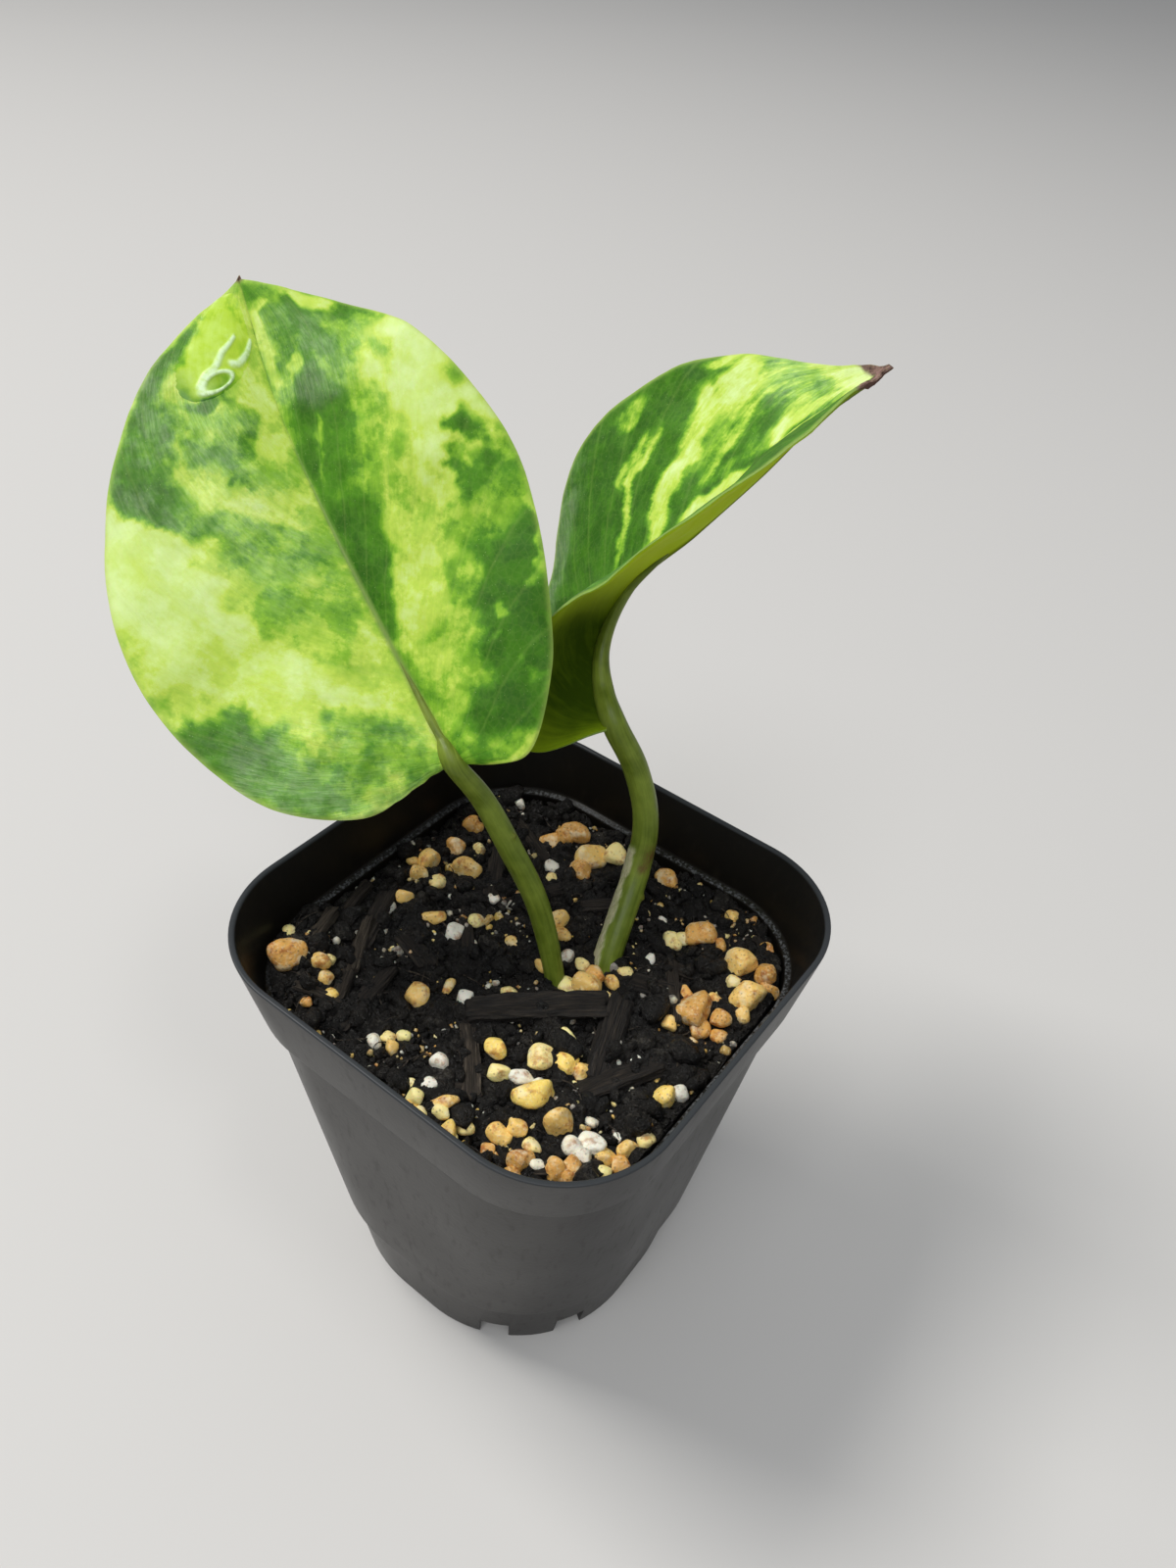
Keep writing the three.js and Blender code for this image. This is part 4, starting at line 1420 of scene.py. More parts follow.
    def build_crumbs(self) -> None:
        """Makes the loose dark crumbs that lie on the soil, fewer large ones and many fine ones."""
        rng = np.random.default_rng(self.seed + 2)
        kinds = [("soil_crumbs", 1150, 1.0, 0.5, 3.0, 2, 0.5),
                 ("soil_fine_crumbs", 5200, 0.35, 0.22, 1.1, 1, 0.1)]
        for name, count, least, spread, most, fineness, clear in kinds:
            size = np.clip(least + spread * rng.exponential(1, count), least, most)
            place = self.scatter(rng, count, 0.6, clear)
            shape = rng.uniform(0.6, 1.35, (count, 3))
            depth = rng.uniform(0.0, 0.4, count) + 0.12 / size
            self.lumps(name, place, size, shape, random_turns(rng, count), depth, None, fineness, 9, 0.16)

    def build_bark(self) -> None:
        """Makes the bark chips.

        A chip's section is a blunt oval, |y/w|⁴ + |z/h|⁴ = 1, with ridges along the fibres. Each line of
        fibre stops at its own length, and both ends close on their middle.
        """
        along = np.concatenate([[0, 0.004], np.linspace(0.02, 0.98, 30), [0.996, 1]])[:, None]
        closing = np.concatenate([[0.02, 0.8], np.ones(30), [0.8, 0.02]])[:, None]
        angle = ring_angles(36)
        flat_y, flat_z = (np.sign(wave) * np.sqrt(np.abs(wave)) for wave in (np.cos(angle), np.sin(angle)))
        parts, grain, warm = [], [], []
        for number, chip in enumerate(CHIPS):
            start, end = np.array(chip.start), np.array(chip.end)
            length = np.linalg.norm(end - start)
            direction = (end - start) / length
            strand = (flat_y * 3 + number * 7, flat_z * 3, along * length * 0.12)
            fibre = np.stack(np.broadcast_arrays(*strand), axis=-1)
            ridges = 1 + 0.1 * WaveNoise(50 + number, 4, gain=0.7).at(fibre, 3.0)
            ragged = WaveNoise(70 + number, 2).at(fibre[0], 1.3) * 0.5
            x = (along - 0.5) * (length + ragged * np.sign(along - 0.5))
            y = flat_y * ridges * closing * chip.width / 2
            z = flat_z * ridges * closing * chip.thick / 2
            y, z = turned(y, z, math.radians(chip.roll))
            sideways = np.array([-direction[1], direction[0]])
            plane = (start + end) / 2 + x[..., None] * direction + y[..., None] * sideways
            low, high = self.height(np.array([start, end]))
            height = low + (high - low) * along + 0.4 + chip.lift + z + 0.15 * np.sin(np.pi * along)
            parts.append(loft(raised(self.inside(plane, 0.3), height)))
            grain.append(np.concatenate([fibre.reshape(-1, 3)[:, ::-1] * (8, 1, 1), np.zeros((2, 3))]))
            warm.append(np.full(len(grain[-1]), chip.warm))
        points, faces = gathered(parts)
        attributes = {"grain": np.vstack(grain), "warm": np.concatenate(warm)}
        place_piece("soil_bark_chips", points, faces, self.bark, attributes)

    def build_fibres(self) -> None:
        """Makes thin fibres on the soil: threads on random bowed lines."""
        rng = np.random.default_rng(self.seed + 3)
        count = self.fibre_count
        share = np.linspace(0, 1, self.fibre_steps)[None, :, None]
        start = self.scatter(rng, count, 1.5)
        direction = rng.uniform(0, 2 * math.pi, count)
        length = rng.uniform(1.5, 6, count)
        end = self.inside(start + length[:, None] * circle(direction), 1.0)
        bend = self.inside((start + end) / 2 + rng.normal(0, 0.9, (count, 2)), 1.0)
        line = parabola(start[:, None], bend[:, None], end[:, None], share)
        rise = 0.45 + rng.uniform(0, 0.9, (count, 1)) * np.sin(math.pi * share[..., 0])
        middle = raised(line, self.height(line) + rise)
        tangent = unit(np.gradient(middle, axis=1))
        level = unit(np.cross(tangent, (0, 0, 1)))
        over = np.cross(level, tangent)
        ring = circle(ring_angles(self.fibre_sides))
        radius = rng.uniform(0.05, 0.15, (count, 1, 1, 1)) * (1 - 0.6 * share[..., None])
        outward = ring[:, :1] * level[:, :, None] + ring[:, 1:] * over[:, :, None]
        points, faces = gathered([loft(rings) for rings in middle[:, :, None] + radius * outward])
        warm = np.repeat(rng.uniform(0.2, 1.0, count), len(points) // count)
        place_piece("soil_fibres", points, faces, self.bark, {"grain": points, "warm": warm})


# Stalks

@dataclass
class Stalk:
    """A leaf stalk: a tapering round stem, with marks at places along it."""

    name: str
    node: str
    path: list[Point]
    radius: list[float]
    into_blade: list[Point]
    into_radius: list[float]
    skin_to: float = 0.0
    skin_angle: float = 25
    scars: list[Point] = field(default_factory=list)
    bumps: list[Point] = field(default_factory=list)
    sides: int = 48
    steps: int = 190
    samples: int = 2000
    skin_half: float = 22
    skin_lift: float = 0.16
    bump_lift: float = 0.45
    scar_depth: float = 0.05
    ridge: float = 0.02
    grain_scale: float = 1.6

    def marks(self, places: list[Point], along: Array, angle: Array) -> Array:
        """Sum of round soft spots.

        Args:
            places: Millimetres up the path, degrees round it, and size in millimetres of each spot.
            along: Millimetres up the path.
            angle: Degrees round the stalk, from the side that faces VIEW_LEFT towards the front.

        Returns:
            Strength, 1 at the middle of a spot.
        """
        total = np.zeros(np.broadcast(along, angle).shape)
        for up, turn, size in places:
            away = (angle - turn + 180) % 360 - 180
            total += fade(np.hypot(along - up, np.radians(away) * self.radius[0]), size)
        return total

    def build(self, finish: Material) -> None:
        """Makes the stalk.

        Rings of even spacing stand square to the smooth path; the radius is a smooth curve of its own along
        the path, with shallow ridges along the stalk, a raised strip of dry skin, and small bumps.

        Args:
            finish: The stalk's finish, which reads the place along and round it.
        """
        whole = self.path + self.into_blade
        even = np.linspace(0, 1, self.samples)
        steps = np.linalg.norm(np.diff(catmull_rom(whole, even), axis=0), axis=1)
        travelled = np.concatenate([[0], np.cumsum(steps)])
        along = np.linspace(0, travelled[-1], self.steps)
        share = np.interp(along, travelled, even)
        middle = catmull_rom(whole, share)
        radius = catmull_rom([(size, 0, 0) for size in self.radius + self.into_radius], share)[:, :1]
        tangent = unit(np.gradient(middle, axis=0))
        left = np.array(VIEW_LEFT)
        zero = unit(left - (tangent @ left)[:, None] * tangent)
        quarter = np.cross(tangent, zero)
        angle = ring_angles(self.sides)
        degrees = np.degrees(angle)[None]
        up = along[:, None]
        ring = circle(angle)
        skin = np.zeros((self.steps, self.sides))
        if self.skin_to:
            away = np.abs((degrees - self.skin_angle + 180) % 360 - 180)
            edge = self.skin_half + 5 * WaveNoise(9, 3).at(up[..., None], 0.9)
            skin = smooth_fall(away, edge, edge + 6) * smooth_fall(up, self.skin_to - 0.6, self.skin_to + 0.6)
        scars, bumps = self.marks(self.scars, up, degrees), self.marks(self.bumps, up, degrees)
        ridges = 1 + self.ridge * WaveNoise(3, 3).at(ring, 3.2)
        wide = radius * ridges + self.skin_lift * skin + self.bump_lift * bumps - self.scar_depth * scars
        outward = ring[:, :1] * zero[:, None] + ring[:, 1:] * quarter[:, None]
        points, faces = loft(middle[:, None] + wide[..., None] * outward)
        around = self.grain_scale * ring
        grain = np.stack(np.broadcast_arrays(up, around[:, 0], around[:, 1]), axis=-1)
        attributes = {"stalk_place": with_ends(grain), "skin": with_ends(skin),
                      "scar": with_ends(np.clip(scars + 0.7 * bumps, 0, 1))}
        place_piece(self.name, points, faces, finish, attributes, replaces=self.node)


# Blades

@dataclass(frozen=True)
class Patch:
    """A soft-edged patch of one tone, 0 for deep green to 1 for cream.

    It lies round a share along the blade and a share across it, reaches long across and wide along, and its
    middle line climbs by slope for each share across.
    """

    along: float
    across: float
    long: float
    wide: float
    slope: float
    tone: float


def patches(*rows: tuple[float, ...]) -> list[Patch]:
    """Patches from rows of their values, in the order of Patch's fields."""
    return [Patch(*row) for row in rows]


@dataclass
class Blade:
    """A heart-shaped blade between its midrib and two margins, left and right as seen with the tip away."""

    name: str
    node: str
    midrib: list[Point]
    left: list[Point]
    right: list[Point]
    cups: tuple[float, float]
    wave: float
    waves: int
    sweep: tuple[tuple[float, float], tuple[float, float]]
    base_tones: tuple[float, float]
    patches: list[Patch]
    base_gloss_and_painted_sheen: tuple[float, float]
    dry_from: float
    dry_slopes: tuple[float, float]
    tip_long: float
    tip_way: Point
    crumple: float
    crease: float
    seed: int
    glossy_and_painted_sheen: list[Patch]
    streaky: float
    uneven: float
    painted_light_below: float
    row_sweep: float = 1.25
    heel_half: float = 1.0
    tip_half: float = 0.35
    rib_fade: float = 0.12
    thick: float = 0.5
    swell: float = 0.2
    furrow: float = 0.05
    groove: float = 0.1
    rows: int = 180
    columns: int = 72

    def margin(self, side: int, share: Array) -> Array:
        """Points on one margin, from beside the heel to beside the tip.

        Args:
            side: −1 for the left margin and 1 for the right one.
            share: Places along it.

        Returns:
            One point for each place.
        """
        between = self.right if side > 0 else self.left
        heel = self.midrib[0] + unit(np.subtract(self.right[0], self.left[0])) * side * self.heel_half
        tip = self.midrib[-1] + unit(np.subtract(self.right[-1], self.left[-1])) * side * self.tip_half
        return catmull_rom([tuple(heel), *between, tuple(tip)], share)

    def rib_half(self, s: Array) -> Array:
        """Half the midrib's width: 0.7 to 0.4 mm towards the tip, and 0.6 mm more at the heel."""
        return 0.7 + (0.4 - 0.7) * s + 0.6 * fade(s, self.rib_fade, 1)

    def sheet(self, s: Array, t: Array) -> tuple[Array, Array]:
        """The blade's middle surface.

        The point for share s along and t across (−1 left margin, 0 midrib, 1 right margin) lies on the
        straight line from the midrib at s^1.25 to the margin at s, raised by its side's cup,
        4·cup·|t|(1−|t|), and by the wave at the margin, wave·t²·sin(2π·waves·s ± 1), which both fade out at
        heel and tip.

        Args:
            s: Shares along the blade.
            t: Shares across it, of the same shape.

        Returns:
            Points, and each half's width at that row.
        """
        swept = s**self.row_sweep
        places = (np.clip(swept + step, 0, 1) for step in (0, 0.004, -0.004))
        start, ahead, behind = (catmull_rom(self.midrib, place) for place in places)
        side = np.where(t < 0, -1.0, 1.0)
        ends = np.where(t[..., None] < 0, self.margin(-1, s), self.margin(1, s))
        across = ends - start
        up = unit(np.cross(across * side[..., None], ahead - behind))
        reach = np.abs(t)
        rise = np.minimum(1, np.minimum(4 * s, 4 * (1 - s)))
        wave = self.wave * reach**2 * np.sin(2 * math.pi * self.waves * s + side)
        cup = np.where(t < 0, self.cups[0], self.cups[1])
        lift = rise * (4 * cup * reach * (1 - reach) + wave)
        return start + across * reach[..., None] + up * lift[..., None], np.linalg.norm(across, axis=-1)

    def vein_share(self, s: Array, t: Array) -> Array:
        """Where a point's side vein leaves the midrib: s − (a·|t| + b·t²), with a and b of its side."""
        left, right = (a * np.abs(t) + b * t**2 for a, b in self.sweep)
        return s - np.where(t < 0, left, right)

    def layered(self, base: tuple[float, float], layers: list[Patch], s: Array, t: Array,
                points: Array) -> Array:
        """Its side's base tone, with each patch laid over it in turn.

        A patch covers 1 / (1 + d⁹) of what is under it, d being the distance from its middle in patch
        sizes, and only on its own side. Noise moves the places it is read at, so its edge is uneven.

        Args:
            base: Tones of the left and right half.
            layers: The patches, the lowest first.
            s: Shares along the blade.
            t: Shares across it.
            points: The points that the noise is read at.

        Returns:
            One tone for each point.
        """
        noise = {k: WaveNoise(self.seed + k, 3) for k in (5, 6, 7, 8)}
        drift_s = 0.011 * noise[5].at(points, 0.5) + 0.006 * noise[7].at(points, 1.5)
        drift_t = 0.03 * noise[6].at(points, 0.5) + 0.016 * noise[8].at(points, 1.4)
        warped_s = s + self.uneven * drift_s
        warped_t = t + self.uneven * drift_t * smooth_step(np.abs(t), 0, 0.15)
        total = np.where(t < 0, base[0], base[1])
        for patch in layers:
            off = warped_t - patch.across
            up = warped_s - patch.along - patch.slope * off
            away = (up / patch.wide) ** 2 + (off / patch.long) ** 2
            cover = smooth_step(t * np.sign(patch.across), -0.02, 0.03) / (1 + away**4.5)
            total = total + cover * (patch.tone - total)
        return total

    def relief(self, s: Array, t: Array, points: Array) -> Array:
        """Height of the relief: furrows along the side veins, swells, fine creases and dry crumples.

        Args:
            s: Shares along the blade.
            t: Shares across it.
            points: The points that the noise is read at.

        Returns:
            One height for each point.
        """
        reach = np.abs(t)
        vein = self.vein_share(s, t) + 0.006 * WaveNoise(self.seed, 2).at(points, 0.35)
        off = np.abs((vein / VEIN_SPACING + 0.5) % 1 - 0.5) * VEIN_SPACING * VEIN_UNITS
        inner = smooth_step(reach, 0.03, 0.12) * smooth_fall(reach, 0.8, 1)
        furrow = self.furrow * fade(off, 0.5) * inner * smooth_fall(s, 0.7, 0.9)
        swell = self.swell * WaveNoise(self.seed + 1, 2).at(points, 0.42)
        low_left = smooth_fall(s, 0.2, 0.42) * smooth_fall(t, -0.7, -0.3)
        crease = self.crease * (1 + 2.5 * low_left) * WaveNoise(self.seed + 2, 3).at(points, 1.4)
        crumple = self.crumple * self.dryness(s, t) * WaveNoise(self.seed + 3, 3).at(points, 1.8)
        return (swell + crease) * smooth_step(reach, 0, 0.25) + crumple - furrow

    def dryness(self, s: Array, t: Array) -> Array:
        """Dry tissue: past dry_from at the midrib, and earlier towards each margin by its side's slope."""
        slope = np.where(t < 0, self.dry_slopes[0], self.dry_slopes[1])
        return smooth_step(s + slope * np.abs(t), self.dry_from, self.dry_from + 0.008)

    def build(self, finish: Material, underside: Material) -> None:
        """Makes the blade: two faces half a thickness either side of the sheet, joined round a thin edge.

        The first rows are closer together, where the heel runs into the stalk, and a tip of dry tissue is
        added.

        Args:
            finish: The upper face's and edge's material.
            underside: The lower face's material.
        """
        inner = np.linspace(0, 0.985, self.columns)
        reach = np.concatenate([inner, [0.992, 0.997, 1]])
        across = np.concatenate([-reach[::-1], reach[1:]])
        along = np.concatenate([np.linspace(0, 0.05, 24)[:-1], np.linspace(0.05, 1, self.rows - 23)])
        s, t = np.meshgrid(along, across, indexing="ij")
        upper, lower, width = self.faces_at(s, t)
        upper, lower = self.with_tip(upper, lower)
        extra = len(upper) - len(along)
        s, t, width = (np.vstack([grid, np.repeat(grid[-1:], extra, axis=0)]) for grid in (s, t, width))
        attributes = for_both_faces(self.attributes(s, t, width, upper, extra))
        points, faces = two_faced(upper, lower)
        piece = place_piece(self.name, points, faces, finish, attributes, replaces=self.node)
        piece.data.materials.append(underside)
        one_face = (s.shape[0] - 1) * (s.shape[1] - 1)
        side = np.zeros(len(faces), np.int32)
        side[one_face:2 * one_face] = 1
        piece.data.polygons.foreach_set("material_index", side)

    def faces_at(self, s: Array, t: Array) -> tuple[Array, Array, Array]:
        """Points of both faces on any grid with rows towards the tip and columns to the right.

        The thickness falls off before the margin by 1 − 0.8·x². The lower face carries the midrib, a ridge
        that falls as the cosine. On the upper face it stands up at the heel, and is a groove further up.

        Args:
            s: Shares along the blade.
            t: Shares across it.

        Returns:
            The upper face, the lower face and each half's width.
        """
        points, width = self.sheet(s, t)
        normal = self.normals(points)
        half = self.thick / 2 * (1 - 0.8 * smooth_step(np.abs(t), 0.965, 1.0) ** 2)
        from_rib = np.abs(t) * width
        rib_half = self.rib_half(s)
        rib = 0.5 + 0.5 * np.cos(math.pi * np.minimum(from_rib / (1.5 * rib_half), 1))
        shift = self.relief(s, t, points)
        groove = self.groove * fade(from_rib, 0.5 * rib_half)
        groove = groove * smooth_step(s, 0.25, 0.5) * smooth_fall(s, 0.65, 0.85)
        ridge = rib * (fade(s, 0.03, 1) + 0.32 * fade(s, 0.16, 1))
        under = 0.9 * rib_half * (1 - 0.8 * smooth_step(s, 0.42, 0.66)) * rib
        upper = points + normal * (shift + half - groove + ridge)[..., None]
        lower = points + normal * (shift - half - under)[..., None]
        return upper, lower, width

    @staticmethod
    def normals(points: Array) -> Array:
        """Unit normals of a grid: its slope across crossed with its slope along."""
        return unit(np.cross(np.gradient(points, axis=1), np.gradient(points, axis=0)))

    def with_tip(self, upper: Array, lower: Array) -> tuple[Array, Array]:
        """Adds rows past the tip that draw in to a thin spike.

        Args:
            upper: The upper face's points.
            lower: The lower face's points.

        Returns:
            Both faces with the new rows.
        """
        steps = np.linspace(0, 1, 9)[1:, None, None]
        middle = (upper[-1] + lower[-1]).mean(axis=0) / 2
        shrink = (1 - steps) ** 0.8 * 0.97 + 0.03
        onward = unit(np.array(self.tip_way)) * steps * self.tip_long
        grown = [np.vstack([face, middle + (face[-1] - middle) * shrink + onward]) for face in (upper, lower)]
        return grown[0], grown[1]

    def attributes(self, s: Array, t: Array, width: Array, points: Array, extra: int) -> dict[str, Array]:
        """Values that the leaf's finishes read, for each point of one face.

        Args:
            s: Shares along the blade.
            t: Shares across it.
            width: Each half's width.
            points: The points that the noise is read at.
            extra: How many of the last rows belong to the dry tip.

        Returns:
            Each value by its name.
        """
        reach = np.abs(t)
        rib_half = self.rib_half(s)
        heel = fade(s, 0.3, 1)
        from_edge = (1 - reach) * width
        dry = self.dryness(s, t)
        dry[len(dry) - extra:] = 1
        # Painted light coming through the underside, on a strip of the right half.
        lit = self.painted_light_below * smooth_step(s, 0.3, 0.5) * smooth_fall(s, 0.75, 0.9)
        rib_strength = 0.2 + 0.8 * smooth_fall(s, 0.6, 0.8)
        side = np.where(t < 0, 0.0, 40.0) + self.seed
        values = {
            "vein_place": np.stack([self.vein_share(s, t) * VEIN_UNITS, reach * 26, side], axis=-1),
            "pale": self.layered(self.base_tones, self.patches, s, t, points),
            # Where the upper face is smoother and gets painted sheen added to its colour.
            "gloss_and_painted_sheen": self.layered(self.base_gloss_and_painted_sheen, self.glossy_and_painted_sheen, s, t, points),
            "rib": fade(reach * width, rib_half * (0.5 + 0.9 * heel), 4) * rib_strength,
            "streaky": np.full(s.shape, self.streaky),
            "heel": heel,
            "edge": fade(from_edge, 0.45),
            # Painted light coming through the underside near the margin.
            "margin": fade(from_edge, 4.5, 1.5),
            "lit": lit * smooth_step(t, 0, 0.05),
            "dry": dry,
        }
        return {label: value.reshape(-1, *value.shape[2:]) for label, value in values.items()}


LEFT_BLADE = Blade(
    name="marbled_blade_left", node="leaf_blade_left",
    midrib=[(-12, -3.5, 86.5), (-24.5, -1, 96), (-36.5, 1.5, 106), (-48, 4.5, 116.5), (-58.5, 9, 127.5)],
    left=[(-14.4, -14.3, 83.3), (-22, -22, 84.4), (-31.6, -25, 88.6), (-40.8, -25, 94.2), (-48.3, -22.2, 102),
          (-53.8, -16.6, 109.5), (-57.4, -9.4, 116.9), (-59.0, -0.5, 123)],
    right=[(-4.7, 1.4, 88.6), (-7, 8, 97), (-12, 13, 103.5), (-17.9, 17.1, 110), (-24.1, 19.3, 116.6),
           (-33, 19.6, 122.1), (-42.3, 18.4, 125.7), (-50.5, 14, 127)],
    cups=(1.4, 1.4), wave=0.5, waves=3,
    sweep=((0.3, 0.1), (0.8, -0.35)),
    base_tones=(0.66, 0.52),
    patches=patches(
        (0.53, -0.8, 0.32, 0.11, -0.26, 0.95), (0.36, -0.55, 0.42, 0.085, -0.2, 0.84),
        (0.22, -0.1, 0.09, 0.2, -0.2, 0.76), (0.46, -0.38, 0.16, 0.05, -0.2, 0.6),
        (0.47, -0.17, 0.1, 0.08, -0.3, 0.52), (0.665, -0.78, 0.26, 0.055, -0.27, 0.16),
        (0.56, -0.44, 0.2, 0.04, -0.3, 0.47), (0.54, -0.22, 0.09, 0.04, -0.4, 0.42),
        (0.62, -0.29, 0.17, 0.036, -0.3, 0.8), (0.7, -0.36, 0.13, 0.02, -0.3, 0.36),
        (0.74, -0.9, 0.16, 0.05, 0, 0.3), (0.84, -0.88, 0.12, 0.07, 0, 0.12),
        (0.745, -0.55, 0.2, 0.035, -0.1, 0.42), (0.76, -0.32, 0.09, 0.028, -0.3, 0.34),
        (0.81, -0.14, 0.13, 0.1, 0, 0.72), (0.885, -0.5, 0.28, 0.07, 0.12, 0.84),
        (0.795, -0.52, 0.13, 0.012, 0.1, 0.2), (0.965, -0.5, 0.5, 0.035, 0, 0.68),
        (0.31, -0.92, 0.22, 0.08, -0.12, 0.2), (0.21, -0.85, 0.25, 0.04, 0, 0.36),
        # (0.15, -0.88): the pale strip low on the left lobe, partly painted sheen.
        (0.15, -0.88, 0.2, 0.028, 0.1, 0.6), (0.2, -0.42, 0.2, 0.075, -0.15, 0.41),
        (0.11, -0.5, 0.32, 0.035, 0, 0.46), (0.04, -0.5, 0.6, 0.04, 0, 0.64),
        (0.66, 0.77, 0.34, 0.1, 0.25, 0.92), (0.55, 0.4, 0.2, 0.09, 0.3, 0.64),
        (0.4, 0.34, 0.25, 0.085, 0.3, 0.8), (0.2, 0.3, 0.3, 0.09, 0.2, 0.6),
        (0.5, 0.09, 0.14, 0.15, 0.45, 0.18), (0.71, 0.2, 0.3, 0.09, 0.3, 0.2),
        (0.86, 0.62, 0.44, 0.055, -0.1, 0.26), (0.68, 0.12, 0.05, 0.02, 0.8, 0.4),
        (0.835, 0.33, 0.09, 0.016, 0, 0.74), (0.81, 0.12, 0.09, 0.03, 0, 0.46),
        (0.89, 0.1, 0.1, 0.035, 0, 0.74), (0.93, 0.3, 0.27, 0.022, -0.04, 0.76),
        (0.975, 0.5, 0.5, 0.02, 0, 0.42), (0.865, 0.86, 0.13, 0.028, 0.1, 0.84),
        (0.57, 0.77, 0.12, 0.04, 0.2, 0.28), (0.3, 0.82, 0.28, 0.15, 0.15, 0.06),
        (0.19, 0.6, 0.22, 0.045, 0.1, 0.14), (0.43, 0.97, 0.04, 0.06, 0, 0.6),
        (0.32, 0.75, 0.07, 0.012, 0.1, 0.45), (0.05, 0.6, 0.5, 0.05, 0, 0.4),
        (0.1, 0.97, 0.1, 0.06, 0, 0.74), (0.24, 0.9, 0.08, 0.015, 0.1, 0.36),
        (0.36, 0.92, 0.05, 0.012, 0.2, 0.4), (0.27, 0.64, 0.05, 0.01, 0.2, 0.4)),
    # Shinier parts: smoother, with painted sheen added to their colour.
    base_gloss_and_painted_sheen=(0.15, 0.05),
    glossy_and_painted_sheen=patches(
        (0.69, -0.58, 0.5, 0.14, -0.25, 1), (0.82, 0.36, 0.4, 0.09, -0.1, 0.95),
        (0.2, -0.8, 0.38, 0.12, 0, 1), (0.12, -0.4, 0.4, 0.1, 0, 0.5), (0.05, -0.75, 0.4, 0.06, 0, 1)),
    streaky=0.6, uneven=1.15, painted_light_below=0.0,
    dry_from=0.994, dry_slopes=(0.0, 0.0), tip_long=0.8, tip_way=(-0.44, 0.48, 0.76),
    crumple=0.0, crease=0.03, seed=11)

RIGHT_BLADE = Blade(
    name="marbled_blade_right", node="leaf_blade_right",
    midrib=[(-3.5, 18, 84.5), (-10, 23.5, 90.5), (-9.5, 28, 99), (-4, 32, 106.5), (0.8, 37.3, 114.2),
            (4.3, 44.1, 121.3), (8.7, 50.3, 126.6)],
    left=[(-14, 20.5, 81.5), (-22.2, 26.8, 85.5), (-27, 33.7, 92), (-30.2, 39.3, 100.8), (-28.8, 44.8, 109.6),
          (-21.8, 49, 116.8), (-12.5, 50.5, 122), (-2, 51, 124)],
    right=[(-9.3, 8.3, 82.5), (-14.5, 7.5, 89), (-12.5, 12, 98), (-6, 14.5, 105.5), (0.5, 16, 113.3),
           (6.2, 20, 120.5), (8.2, 29.5, 124.5), (8.4, 39.5, 126)],
    cups=(-0.8, 0.5), wave=0.4, waves=2,
    sweep=((0.42, -0.03), (0.42, -0.03)),
    base_tones=(0.08, 0.1),
    patches=patches(
        # (0.93, -0.55): the pale light green near the tip, partly painted sheen.
        (0.93, -0.55, 0.65, 0.11, 0, 0.6), (0.79, -0.6, 0.26, 0.055, -0.3, 0.4),
        (0.955, -0.5, 0.5, 0.05, 0, 0.9), (0.86, -0.84, 0.2, 0.03, 0, 0.42),
        (0.745, -0.68, 0.34, 0.066, -0.3, 0.62), (0.765, -0.76, 0.2, 0.04, -0.2, 0.84),
        (0.61, -0.38, 0.36, 0.03, -0.42, 0.8), (0.7, -0.6, 0.16, 0.03, -0.4, 0.78),
        (0.735, -0.42, 0.2, 0.016, -0.5, 0.66), (0.79, -0.42, 0.2, 0.014, -0.4, 0.3),
        (0.84, -0.3, 0.24, 0.03, -0.35, 0.66), (0.51, -0.46, 0.26, 0.017, -0.43, 0.68),
        (0.56, -0.66, 0.1, 0.02, -0.4, 0.6), (0.64, -0.1, 0.05, 0.08, 0, 0.86),
        (0.84, -0.2, 0.08, 0.08, -0.2, 0.86), (0.69, -0.2, 0.05, 0.06, -0.3, 0.34),
        (0.77, -0.96, 0.06, 0.04, -0.2, 0.75), (0.6, -0.9, 0.06, 0.03, -0.3, 0.5),
        (0.55, 0.5, 0.35, 0.05, 0.3, 0.7), (0.34, 0.6, 0.25, 0.035, 0.3, 0.55),
        (0.78, 0.4, 0.3, 0.05, 0.3, 0.75), (0.45, 0.15, 0.1, 0.03, 0.3, 0.5)),
    # Shinier parts: smoother, with painted sheen added to their colour.
    base_gloss_and_painted_sheen=(0.06, 0.1),
    glossy_and_painted_sheen=patches(
        (0.92, -0.6, 0.6, 0.11, 0, 1), (0.36, -0.95, 0.14, 0.12, 0, 0.8)),
    streaky=1.5, uneven=0.45, painted_light_below=1.0,
    dry_from=0.965, dry_slopes=(0.012, 0.05), tip_long=0.5, tip_way=(0.79, 0.6, 0.02),
    crumple=0.1, crease=0.025, seed=23)

LEFT_STALK = Stalk(
    name="smooth_stalk_left", node="leaf_stalk_left",
    path=[(4, 0.5, 45), (3.5, 0, 55), (-1, 1, 65.5), (-5.5, 0, 74), (-9, -1.5, 81), (-11.5, -4, 86.5)],
    radius=[1.4, 1.3, 1.5, 1.55, 1.45, 1.3],
    into_blade=[(-14.5, -3, 88), (-16.8, -2.6, 89.9), (-19.9, -1.9, 92.4), (-23.8, -1.1, 95.3)],
    into_radius=[1.1, 0.85, 0.6, 0.3],
    bumps=[(33, 150, 0.35)])

RIGHT_STALK = Stalk(
    name="smooth_stalk_right", node="leaf_stalk_right",
    path=[(8, 3.5, 45), (7, 6.5, 55), (4.5, 15.5, 64.5), (3, 18.5, 71.5), (0, 19, 78.5), (-3.5, 18, 84.5)],
    radius=[1.8, 1.8, 1.75, 1.7, 1.65, 1.6],
    into_blade=[(-7.4, 20.3, 87.3), (-9.9, 23.1, 91.3), (-9.7, 26.6, 97.5), (-6, 30.2, 104.2)],
    into_radius=[1.3, 0.95, 0.65, 0.3],
    skin_to=27.5, scars=[(27, 140, 1.3), (25, 110, 0.8)], bumps=[(21, 165, 0.4)])


# Water

